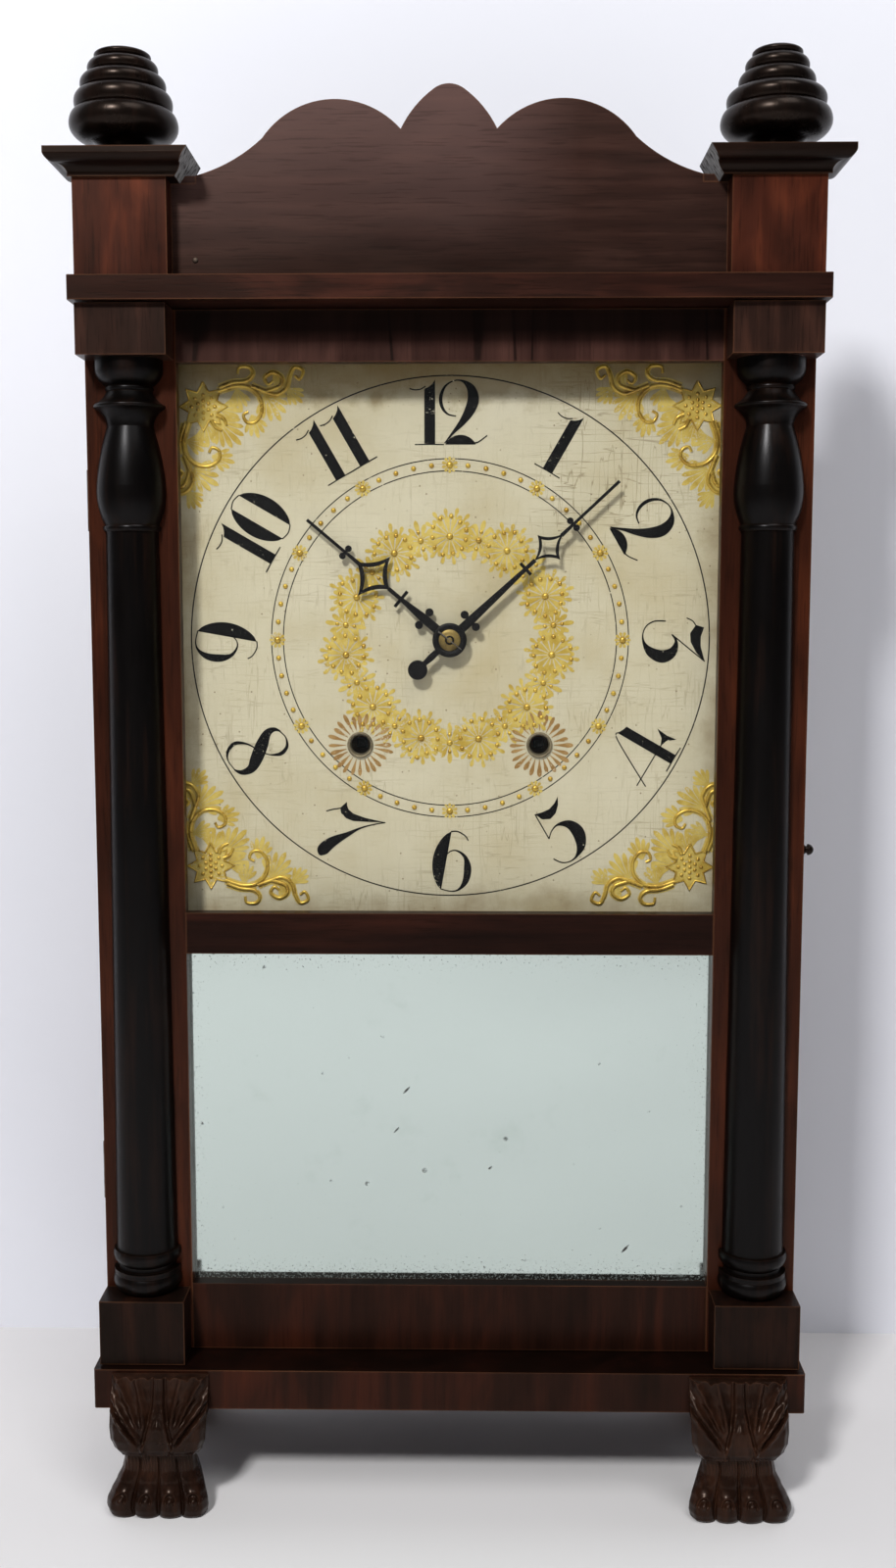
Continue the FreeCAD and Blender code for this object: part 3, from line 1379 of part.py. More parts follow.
def make_hand(name, setback, bore, angle, tail):
    """A blackened hand with an open diamond, cross bar and balls, pointing up before it is turned."""
    front = behind(setback)
    back = front + size.hand_thickness
    marks = {word: float(getattr(size, f"{name}_{word}"))
             for word in ("balls", "bar", "bar_half", "diamond_start", "diamond_middle", "diamond_end",
                          "diamond_half", "rim", "upper_balls", "tip")}
    root = float(size.hand_root_width) / 2
    stem = float(size.hand_stem_width) / 2
    point = float(size.hand_tip_width) / 2
    bar = float(size.hand_bar_width) / 2

    def taper(low, low_half, high, high_half):
        return slab([(-low_half, low), (low_half, low), (high_half, high), (-high_half, high)], front, back)

    def balls(radius, spread, height):
        neck = float(size.hand_neck_width) / 2
        made = [taper(height - neck, float(spread), height + neck, float(spread))]
        for side in (-1, 1):
            ball = disc(radius, front, back)
            ball.translate(FreeCAD.Vector(side * float(spread), 0, height))
            made.append(ball)
        return made

    shapes = [disc(size.hand_hub_radius, front, back),
              taper(0.0, root, marks["balls"], root),
              taper(marks["balls"], root, marks["bar"], stem),
              taper(marks["bar"], stem, marks["diamond_start"] + bar, stem),
              taper(marks["bar"] - bar, marks["bar_half"], marks["bar"] + bar, marks["bar_half"]),
              hollow_diamond(marks["diamond_start"], marks["diamond_middle"], marks["diamond_end"],
                             marks["diamond_half"], marks["rim"], front, back),
              taper(marks["diamond_end"] - marks["rim"], stem, marks["upper_balls"], point),
              taper(marks["upper_balls"], point, marks["tip"], point)]
    shapes += balls(size.hand_ball_radius, size.hand_ball_spread, marks["balls"])
    shapes += balls(size.hand_upper_ball_radius, size.hand_upper_ball_spread, marks["upper_balls"])
    if tail:
        reach = float(size.hand_tail_length)
        hub = float(size.hand_hub_radius)
        middle = (reach + hub - float(size.hand_tail_disc)) / 2
        wide = float(size.hand_tail_width) / 2
        shapes.append(slab([(-point, -reach), (point, -reach), (wide, -middle), (stem, stem), (-stem, stem),
                            (-wide, -middle)], front, back))
        counterpoise = disc(size.hand_tail_disc, front, back)
        counterpoise.translate(FreeCAD.Vector(0, 0, -reach))
        shapes.append(counterpoise)
    blade = one_piece(shapes).cut(disc(bore, front, back))
    hand = solid(name, blade)
    turn = FreeCAD.Rotation(FreeCAD.Vector(0, 1, 0), angle)
    hand.Placement = FreeCAD.Placement(FreeCAD.Vector(0, 0, float(centre_z)), turn)
    keep(name, hand)


def make_hands():
    """The hour hand on its pipe and the minute hand on the end of the centre arbor."""
    make_hand("hour_hand", hour_hand_setback, size.hour_pipe_radius + size.hand_fit, HOUR_HAND_ANGLE, False)
    make_hand("minute_hand", minute_hand_setback, size.minute_arbor_radius + size.hand_fit,
              MINUTE_HAND_ANGLE, True)


# Weights, pulleys and cords

def cord_tube(points):
    """A round cord along edges that already meet smoothly."""
    path = Part.Wire(points)
    start = path.Edges[0].valueAt(path.Edges[0].FirstParameter)
    way = path.Edges[0].tangentAt(path.Edges[0].FirstParameter)
    ring = Part.Wire(Part.makeCircle(float(size.cord_radius), start, way))
    return path.makePipeShell([ring], True, False)


def make_weights():
    """Iron weights on cords that run over pulleys under the cornice."""
    y = cord_plane()
    weight_low = base_top + size.weight_floor_gap
    top = size.weight_height
    profile = [
        (NOTHING, NOTHING),
        (size.weight_radius - size.weight_edge, NOTHING),
        (size.weight_radius, size.weight_edge),
        (size.weight_radius, top - size.weight_edge),
        (size.weight_radius - size.weight_edge, top),
        (size.weight_hook_radius, top),
        (size.weight_hook_radius, top + size.weight_hook_height),
        (NOTHING, top + size.weight_hook_height),
    ]
    groove = size.pulley_groove_width / 2
    half = size.pulley_thickness / 2
    pin_half = half + size.pulley_cheek_gap + size.pulley_cheek_thickness
    wheel = [
        (NOTHING, -pin_half), (size.pulley_pin_radius, -pin_half), (size.pulley_pin_radius, -half),
        (size.pulley_flange_radius, -half), (size.pulley_flange_radius, -groove), (size.pulley_radius, -groove),
        (size.pulley_radius, groove), (size.pulley_flange_radius, groove), (size.pulley_flange_radius, half),
        (size.pulley_pin_radius, half), (size.pulley_pin_radius, pin_half), (NOTHING, pin_half),
    ]
    leads = []
    for word, side, drum in (("strike", -1, strike_winding), ("time", 1, time_winding)):
        fall_x = weight_x * float(side)
        keep(word + "_weight", turned(word + "_weight", "XZ_Plane", "V_Axis", profile, (fall_x, y, weight_low)))
        x, z = pulley_place(side)
        keep(word + "_pulley", turned(word + "_pulley", "XY_Plane", "V_Axis", wheel, (x, y, z)))
        fall = rod_along_z(word + "_fall_cord", size.cord_radius, fall_x, y,
                           weight_low + size.weight_height + size.weight_hook_height, z)
        keep(word + "_fall_cord", fall)
        leads.append(solid(word + "_lead_cord", lead_tube(side, drum, (x, z))))
    keep("lead_cords", group("lead_cords", leads))


def lead_tube(side, drum, pulley):
    """The cord from the outer side of a drum to the inner side of its pulley and over it."""
    y = float(cord_plane())
    clear = float(size.cord_gap + size.cord_radius)
    low_radius = float(size.drum_radius) + clear
    high_radius = float(size.pulley_radius) + clear
    distance, angle = gap_between(drum, pulley)
    lean = math.asin((low_radius + high_radius) / distance)
    tilt = angle + side * (math.pi / 2 + lean)
    out = FreeCAD.Vector(math.cos(tilt), 0, math.sin(tilt))
    drum_middle = FreeCAD.Vector(float(drum[0]), y, float(drum[1]))
    pulley_middle = FreeCAD.Vector(float(pulley[0]), y, float(pulley[1]))
    leave = drum_middle - out * low_radius
    meet = pulley_middle + out * high_radius
    crown = pulley_middle + FreeCAD.Vector(0, 0, high_radius)
    fall = pulley_middle + FreeCAD.Vector(side * high_radius, 0, 0)
    run = Part.LineSegment(leave, meet).toShape()
    bend = Part.Arc(meet, crown, fall).toShape()
    return cord_tube([run, bend])


def export_parts():
    """Check every object of the document and write one file for each sub-part."""
    doc.recompute()
    failed = [item.Name for item in doc.Objects if "Invalid" in item.State or "Error" in item.State]
    if failed:
        raise RuntimeError("failed objects: " + ", ".join(failed))
    for name, item in nodes.items():
        if item.Shape.isNull() or not item.Shape.isValid():
            raise RuntimeError("bad shape: " + name)
    os.makedirs("parts", exist_ok=True)
    for name, item in nodes.items():
        item.Shape.exportStep(f"parts/{name}.step")
        print(name, len(item.Shape.Solids), round(item.Shape.Volume, 1))


make_case()
make_top()
make_feet()
make_door()
make_hinges()
make_dial()
make_plates()
make_going_train()
make_drums()
make_strike_train()
make_escapement()
make_hands()
make_weights()
export_parts()
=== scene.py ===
"""Dress of a column and splat shelf clock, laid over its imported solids."""

import logging
import math
import random
from collections.abc import Callable, Sequence
from dataclasses import dataclass, field
from enum import Enum

import bpy
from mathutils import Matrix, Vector


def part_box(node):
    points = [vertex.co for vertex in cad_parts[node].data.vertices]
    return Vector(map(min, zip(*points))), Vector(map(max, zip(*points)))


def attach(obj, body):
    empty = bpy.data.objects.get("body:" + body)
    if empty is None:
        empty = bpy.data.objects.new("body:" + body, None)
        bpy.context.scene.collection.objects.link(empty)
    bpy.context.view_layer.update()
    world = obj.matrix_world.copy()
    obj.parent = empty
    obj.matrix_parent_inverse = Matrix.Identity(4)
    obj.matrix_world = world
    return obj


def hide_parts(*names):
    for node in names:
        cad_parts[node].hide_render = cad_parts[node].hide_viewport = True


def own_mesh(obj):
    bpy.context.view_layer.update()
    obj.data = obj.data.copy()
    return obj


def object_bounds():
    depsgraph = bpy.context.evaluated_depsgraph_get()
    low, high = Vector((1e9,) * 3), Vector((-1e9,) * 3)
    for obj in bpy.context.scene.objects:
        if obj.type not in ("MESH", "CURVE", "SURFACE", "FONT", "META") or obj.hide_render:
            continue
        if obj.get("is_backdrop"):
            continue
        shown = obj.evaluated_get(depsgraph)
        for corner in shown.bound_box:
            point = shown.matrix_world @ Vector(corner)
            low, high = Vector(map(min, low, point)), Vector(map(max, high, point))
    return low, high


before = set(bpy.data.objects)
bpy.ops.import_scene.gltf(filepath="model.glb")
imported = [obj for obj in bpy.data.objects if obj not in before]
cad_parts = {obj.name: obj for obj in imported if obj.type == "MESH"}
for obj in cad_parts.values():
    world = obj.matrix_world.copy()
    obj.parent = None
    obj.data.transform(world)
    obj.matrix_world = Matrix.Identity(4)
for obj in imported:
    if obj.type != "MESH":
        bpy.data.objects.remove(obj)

LOG = logging.getLogger("clock")
MM = 0.001
TURN = 2 * math.pi

Flat = tuple[float, float]
Colour = tuple[int, int, int]
Table = Sequence[Flat]
Ridge = tuple[float, float, float]
Placer = Callable[[float, float], Flat]
Socket = bpy.types.NodeSocket
Value = bpy.types.NodeSocket | float | tuple

DIAL_MIDDLE: Flat = (0.0, 0.5255)
KEY_HOLES: Flat = (0.0547, 0.4616)


def linear(colour: Colour) -> tuple[float, float, float, float]:
    """Give the scene value of a colour as it is seen, by the sRGB curve.

    Args:
        colour: Red, green and blue from 0 to 255.

    Returns:
        The linear colour with full cover.
    """
    parts = [value / 255.0 for value in colour]
    red, green, blue = [p / 12.92 if p <= 0.04045 else ((p + 0.055) / 1.055) ** 2.4 for p in parts]
    return red, green, blue, 1.0


def eased(low: float, high: float, value: float) -> float:
    """Rise smoothly from nought at low to one at high."""
    share = min(1.0, max(0.0, (value - low) / (high - low)))
    return share * share * (3.0 - 2.0 * share)


def follow(table: Table, place: float) -> float:
    """Read a smooth profile that is given by a few stations.

    Args:
        table: Places and values, in order of place.
        place: Where the profile is read.

    Returns:
        The value there, eased between its two stations.
    """
    if place <= table[0][0]:
        return table[0][1]
    for (low, first), (high, second) in zip(table, table[1:]):
        if place <= high:
            share = (place - low) / (high - low)
            return first + (second - first) * (0.5 * share + 0.5 * eased(0.0, 1.0, share))
    return table[-1][1]


def ridge(off: float, height: float, place: float, breadth: float) -> float:
    """Give the height of a rounded ridge, or of a groove, that runs at a place."""
    return height * math.exp(-((off - place) / breadth) ** 2)


def smooth_line(points: Sequence[Sequence[float]], steps: int = 8) -> list[tuple[float, ...]]:
    """Run a smooth line through points of any number of values.

    Args:
        points: The points that the line passes through.
        steps: Short runs between two points.

    Returns:
        The points of the finer line.
    """
    ends = [points[0], *points, points[-1]]
    line: list[tuple[float, ...]] = []
    for a, b, c, d in zip(ends, ends[1:], ends[2:], ends[3:]):
        for step in range(steps):
            t = step / steps
            line.append(tuple(
                0.5 * (2 * q + (r - p) * t + (2 * p - 5 * q + 4 * r - s) * t * t
                       + (3 * q - p - 3 * r + s) * t ** 3)
                for p, q, r, s in zip(a, b, c, d)))
    line.append(tuple(points[-1]))
    return line


def turns(count: int, start: float = 0.0) -> list[float]:
    """Give the angles of so many even steps round a circle."""
    return [start + TURN * step / count for step in range(count)]


def around(turn: float, reach: float, middle: Flat = (0.0, 0.0)) -> Flat:
    """Give the point at an angle from the top and a distance from a middle."""
    return middle[0] + math.sin(turn) * reach, middle[1] + math.cos(turn) * reach


def moved(start: Flat, way: Flat, far: float, side: Flat, off: float) -> Flat:
    """Give the point reached by going far one way and off another way."""
    return start[0] + way[0] * far + side[0] * off, start[1] + way[1] * far + side[1] * off


def stand(name: str, data: bpy.types.ID) -> bpy.types.Object:
    """Put a mesh, lamp or camera in the scene.

    Args:
        name: Name of the new object.
        data: What it shows.

    Returns:
        The new object.
    """
    thing = bpy.data.objects.new(name, data)
    bpy.context.scene.collection.objects.link(thing)
    return thing


# Finishes

class Grain(Enum):
    """The way that the fibres of a board run."""

    ACROSS = (0.05, 1.0, 1.0)
    UP = (1.0, 1.0, 0.05)


class Sum(Enum):
    """The sums that finishes work out, by their names in Blender."""

    ADD = "ADD"
    SUBTRACT = "SUBTRACT"
    MULTIPLY = "MULTIPLY"
    MAXIMUM = "MAXIMUM"
    MINIMUM = "MINIMUM"
    ABSOLUTE = "ABSOLUTE"
    DISTANCE = "DISTANCE"
    DOT_PRODUCT = "DOT_PRODUCT"


class NodeBench:
    """Lays out the nodes of one finish."""

    def __init__(self, name: str) -> None:
        """Start a finish with a bare surface.

        Args:
            name: Name of the finish.
        """
        self.material = bpy.data.materials.new(name)
        self.material.use_nodes = True
        self.tree = self.material.node_tree
        self.tree.nodes.clear()
        self.surface = self.add("ShaderNodeBsdfPrincipled")
        self.output = self.add("ShaderNodeOutputMaterial", Surface=self.surface.outputs["BSDF"])
        self.place = self.add("ShaderNodeTexCoord").outputs["Object"]

    def feed(self, socket: Socket, value: Value) -> None:
        """Link a socket, or set it to a plain value.

        Args:
            socket: The socket to feed.
            value: Another node's socket, or a plain value.
        """
        if isinstance(value, bpy.types.NodeSocket):
            self.tree.links.new(value, socket)
        else:
            socket.default_value = value

    def fill(self, node: bpy.types.Node, values: dict[str, Value]) -> None:
        """Feed a node's sockets by name, with underscores for spaces."""
        for name, value in values.items():
            self.feed(node.inputs[name.replace("_", " ")], value)

    def add(self, kind: str, **values: Value) -> bpy.types.Node:
        """Add one node of a kind and feed its sockets.

        Args:
            kind: The node's kind.
            values: Sockets by name, with underscores for spaces, and what feeds each.

        Returns:
            The new node.
        """
        node = self.tree.nodes.new(kind)
        self.fill(node, values)
        return node

    def finish(self, **values: Value) -> bpy.types.Material:
        """Feed the surface's sockets and give the finished material."""
        self.fill(self.surface, values)
        return self.material

    def stretched(self, scale: tuple[float, float, float], shift: float = 0.0) -> Socket:
        """Give the piece's coordinates, stretched and shifted."""
        away = (shift, shift * 0.7, shift * 1.3)
        return self.add("ShaderNodeMapping", Vector=self.place, Scale=scale, Location=away).outputs["Vector"]

    def noise(self, where: Socket, scale: float, detail: float = 3.0, rough: float = 0.5,
              twist: float = 0.0) -> Socket:
        """Give soft noise with values about a half.

        Args:
            where: Coordinates.
            scale: Features to the metre.
            detail: Octaves.
            rough: Share of the finer octaves.
            twist: How far the noise bends itself.

        Returns:
            The noise.
        """
        node = self.add("ShaderNodeTexNoise", Vector=where, Scale=scale, Detail=detail, Roughness=rough,
                        Distortion=twist)
        return node.outputs["Fac"]

    def cells(self, where: Socket, scale: float) -> Socket:
        """Give the distance to the heart of the nearest small cell."""
        return self.add("ShaderNodeTexVoronoi", Vector=where, Scale=scale).outputs["Distance"]

    def sums(self, what: Sum, first: Value, second: Value = 0.0, kind: str = "ShaderNodeMath") -> Socket:
        """Work out a sum of two values, or of two vectors.

        Args:
            what: Which sum.
            first: What it starts from.
            second: What it works with, where it needs two.
            kind: The kind of node that does the sum.

        Returns:
            The result as one value.
        """
        node = self.add(kind)
        node.operation = what.value
        for socket, value in zip(node.inputs, (first, second)):
            self.feed(socket, value)
        return node.outputs["Value"]

    def plus(self, first: Value, second: Value) -> Socket:
        """Add two values."""
        return self.sums(Sum.ADD, first, second)

    def minus(self, first: Value, second: Value) -> Socket:
        """Take one value from another."""
        return self.sums(Sum.SUBTRACT, first, second)

    def times(self, first: Value, second: Value) -> Socket:
        """Multiply two values."""
        return self.sums(Sum.MULTIPLY, first, second)

    def most(self, first: Value, second: Value) -> Socket:
        """Give the greater of two values."""
        return self.sums(Sum.MAXIMUM, first, second)

    def swing(self, noise: Socket, reach: float) -> Socket:
        """Swing a noise to both sides of nought."""
        return self.times(self.minus(noise, 0.5), reach)

    def crease(self, noise: Socket) -> Socket:
        """Give how far a noise is from a half, which draws thin lines."""
        return self.sums(Sum.ABSOLUTE, self.minus(noise, 0.5))

    def span(self, value: Socket, low: float, high: float, first: float = 0.0,
             last: float = 1.0) -> Socket:
        """Stretch the values from low to high over another range, and hold them in it.

        Args:
            value: The value to stretch.
            low: Value that gives first.
            high: Value that gives last.
            first: What low becomes.
            last: What high becomes.

        Returns:
            The stretched value.
        """
        node = self.add("ShaderNodeMapRange", Value=value, From_Min=low, From_Max=high, To_Min=first,
                        To_Max=last)
        return node.outputs["Result"]

    def ramp(self, value: Socket, stops: Sequence[tuple[float, Colour]]) -> Socket:
        """Turn a value into colours along a row of stops.

        Args:
            value: The value to turn.
            stops: Places along the row and the colour at each.

        Returns:
            The colour.
        """
        node = self.add("ShaderNodeValToRGB", Fac=value)
        elements = node.color_ramp.elements
        while len(elements) < len(stops):
            elements.new(0.5)
        for element, (place, colour) in zip(elements, stops):
            element.position = place
            element.color = linear(colour)
        return node.outputs["Color"]

    def blend(self, share: Value, first: Value, second: Value) -> Socket:
        """Mix two colours.

        Args:
            share: Share of the second colour.
            first: The first colour.
            second: The second colour.

        Returns:
            The mixed colour.
        """
        node = self.add("ShaderNodeMix")
        node.data_type = "RGBA"
        self.feed(node.inputs[0], share)
        self.feed(node.inputs[6], first)
        self.feed(node.inputs[7], second)
        return node.outputs[2]

    def cover(self, share: Value, under: Value, colour: Colour) -> Socket:
        """Cover a share of what is under with one plain colour."""
        return self.blend(share, under, linear(colour))

    def relief(self, height: Socket, depth: float, strength: float = 0.5) -> Socket:
        """Turn a height from 0 to 1 into a relief of a depth in metres."""
        node = self.add("ShaderNodeBump", Distance=depth, Strength=strength, Height=height)
        return node.outputs["Normal"]

    def arris(self, radius: float) -> Socket:
        """Find the sharp edges, where hands and cloths rub and where woods get a painted highlight.

        Args:
            radius: How far from an edge the rubbing reaches.

        Returns:
            A share that is one on the edge.
        """
        rounded = self.add("ShaderNodeBevel", Radius=radius)
        rounded.samples = 4
        sharp = self.add("ShaderNodeNewGeometry").outputs["Normal"]
        likeness = self.sums(Sum.DOT_PRODUCT, rounded.outputs["Normal"], sharp, "ShaderNodeVectorMath")
        return self.span(likeness, 0.995, 0.9)

    def part(self, vector: Socket, axis: str) -> Socket:
        """Give one part of a vector."""
        return self.add("ShaderNodeSeparateXYZ", Vector=vector).outputs[axis]

    def coordinate(self, axis: str) -> Socket:
        """Give one of the piece's coordinates."""
        return self.part(self.place, axis)

    def facing(self, axis: str) -> Socket:
        """Give one part of the surface's own direction."""
        return self.part(self.add("ShaderNodeNewGeometry").outputs["True Normal"], axis)

    def inside(self, middle: Flat, half: Flat) -> Socket:
        """Give the distance in from the nearest edge of an upright oblong.

        Args:
            middle: Its middle, across and up.
            half: Half its breadth and half its height.

        Returns:
            Metres, less than nought outside.
        """
        inner: list[Socket] = []
        for axis, heart, reach in zip("XZ", middle, half):
            off = self.sums(Sum.ABSOLUTE, self.minus(self.coordinate(axis), heart))
            inner.append(self.minus(reach, off))
        return self.sums(Sum.MINIMUM, *inner)


@dataclass(frozen=True)
class Wood:
    """A sawn or veneered wood under an old finish."""

    name: str
    deep: Colour
    middle: Colour
    light: Colour
    grain: Grain
    figure: float = 0.35
    gloss: float = 0.34
    # Colour and share of the lightened edges, which are partly wear and partly a painted highlight.
    worn: Colour = (120, 78, 52)
    wear: float = 0.55
    coat: float = 0.03
    lustre: float = 0.13
    pores: float = 0.4
    shift: float = 0.0
    sawn_end: float = 0.0
    # Band of height of a painted sheen, lighter towards the top and the left, partly bloom of the old
    # polish.
    bloom: Flat | None = None
    # Share of painted shade on faces that look up.
    ledge: float = 0.0
    # Share of painted shade in carved hollows, found by pointiness.
    hollow: float = 0.0
    # Band of height under the cornice that is darkened as painted shade.
    soot: Flat | None = None
    splits: float = 0.0
    glow: tuple[float, float, float, float] = (1.0, 0.74, 0.6, 1.0)
    # Colour of the painted sheen and bloom.
    bloomed: Colour = (108, 84, 80)
    streak_scale: float = 150.0
    pore_scale: float = 780.0
    figure_scale: float = 22.0
    cloud_scale: float = 9.0
    sheen_scale: float = 60.0
    split_scale: float = 17.0
    saw_scale: float = 420.0
    rub_reach: float = 0.0012

    def dirt(self, bench: NodeBench, cloud: Socket) -> list[Socket]:
        """Give the shares of painted shade on faces that look up, painted shade in a band under the cornice,
        dirt in cracks and painted shade in carved hollows.

        Args:
            bench: Lays out the nodes.
            cloud: Slow noise that makes the edge of the band of painted shade uneven.

        Returns:
            One share for each kind of darkening that this wood has, painted shade and dirt in cracks alike.
        """
        shares: list[Socket] = []
        # Painted shade on faces that look up.
        if self.ledge:
            shares.append(bench.span(bench.facing("Z"), 0.6, 0.9, 0.0, self.ledge))
        # Painted shade under the cornice: darker from the band's lower height upwards, with an uneven edge.
        if self.soot:
            rise = bench.plus(bench.coordinate("Z"), bench.times(cloud, 0.004))
            shares.append(bench.span(rise, *self.soot, 0.0, 0.85))
        if self.splits:
            run = bench.noise(bench.stretched((1.0, 1.0, 0.03), self.shift + 2.0), self.split_scale, 1.0)
            shares.append(bench.span(bench.crease(run), 0.005, 0.002, 0.0, self.splits))
        # Painted shade in the carved hollows.
        if self.hollow:
            carved = bench.add("ShaderNodeNewGeometry").outputs["Pointiness"]
            shares.append(bench.span(carved, 0.485, 0.42, 0.0, self.hollow))
        return shares

    def make(self) -> bpy.types.Material:
        """Build the wood from streaks, pores, figure, painted shade, a painted sheen and rubbed edges that
        are partly a painted highlight.

        Returns:
            The material.
        """
        bench = NodeBench(self.name)
        along = bench.stretched(self.grain.value, self.shift)
        slow = tuple(0.3 if part < 0.5 else 1.0 for part in self.grain.value)
        streaks = bench.noise(along, self.streak_scale, 5.0, 0.62)
        drawn_out = bench.stretched(slow, self.shift + 3.1)
        figure = bench.noise(drawn_out, self.figure_scale, 3.0, 0.5, 1.4)
        cloud = bench.noise(bench.stretched((1.0, 1.0, 1.0), self.shift), self.cloud_scale, 2.0)
        mixed = bench.plus(bench.times(streaks, 0.9 - self.figure), bench.times(figure, self.figure))
        mixed = bench.plus(mixed, bench.times(cloud, 0.1))
        colour = bench.ramp(mixed, ((0.32, self.deep), (0.5, self.middle), (0.7, self.light)))
        # Painted sheen: lighter towards the top and towards the left, partly bloom of the old polish.
        if self.bloom:
            rise = bench.plus(bench.coordinate("Z"), bench.times(cloud, 0.03))
            painted_sheen = bench.times(bench.span(rise, *self.bloom, 0.0, 0.5),
                                bench.span(bench.coordinate("X"), 0.075, 0.015, 0.1, 1.0))
            colour = bench.cover(painted_sheen, colour, self.bloomed)
        darker = tuple(int(part * 0.45) for part in self.deep)
        pores = bench.noise(along, self.pore_scale, 3.0, 0.55)
        open_pores = bench.span(pores, 0.44, 0.36, 0.0, self.pores)
        # Darken the wood: open pores, dirt in cracks, and painted shade on faces that look up, under the
        # cornice and in carved hollows.
        for share in (open_pores, *self.dirt(bench, cloud)):
            colour = bench.cover(share, colour, darker)
        # Rubbed edges lightened, partly as wear through the finish and partly as a painted highlight along
        # the edges.
        rubbed = bench.times(bench.arris(self.rub_reach), bench.span(cloud, 0.35, 0.62, 0.15, self.wear))
        colour = bench.cover(rubbed, colour, self.worn)
        sheen = bench.noise(bench.stretched(slow, self.shift), self.sheen_scale)
        rough = bench.span(sheen, 0.3, 0.7, self.gloss - 0.03, self.gloss + 0.06)
        if self.sawn_end:
            ends = bench.span(bench.times(bench.facing("X"), self.sawn_end), 0.7, 0.8)
            saw = bench.noise(bench.stretched((1.0, 1.0, 0.12)), self.saw_scale)
            greys = ((0.36, (66, 62, 60)), (0.46, (138, 138, 138)), (0.7, (176, 176, 174)))
            colour = bench.blend(ends, colour, bench.ramp(saw, greys))
            rough = bench.most(rough, bench.times(ends, 0.85))
        height = bench.minus(bench.times(streaks, 0.3), bench.times(open_pores, 0.6))
        return bench.finish(Base_Color=colour, Roughness=rough, Normal=bench.relief(height, 0.0001),
                            Coat_Weight=self.coat, Coat_Roughness=0.22, Specular_IOR_Level=self.lustre,
                            Specular_Tint=self.glow)


@dataclass(frozen=True)
class Metal:
    """A worked metal with tarnish in its hollows."""

    name: str
    bright: Colour
    dull: Colour
    metallic: float = 0.9
    rough: float = 0.35
    grit: float = 260.0
    depth: float = 0.0001
    lustre: float = 0.5

    def make(self) -> bpy.types.Material:
        """Build the metal from grit, patches of tarnish and rubbed edges.

        Returns:
            The material.
        """
        bench = NodeBench(self.name)
        patches = bench.noise(bench.place, self.grit * 0.3, 4.0, 0.6)
        grit = bench.noise(bench.place, self.grit * 4.0, 3.0, 0.6)
        rubbed = bench.times(bench.arris(0.0006), 0.5)
        tarnish = bench.span(bench.minus(bench.span(patches, 0.42, 0.66), rubbed), 0.0, 1.0)
        colour = bench.cover(tarnish, linear(self.bright), self.dull)
        rough = bench.span(bench.plus(patches, bench.times(grit, 0.3)), 0.4, 0.8,
                           self.rough - 0.08, self.rough + 0.2)
        return bench.finish(Base_Color=colour, Roughness=rough, Metallic=self.metallic,
                            Normal=bench.relief(grit, self.depth, 0.6), Specular_IOR_Level=self.lustre)


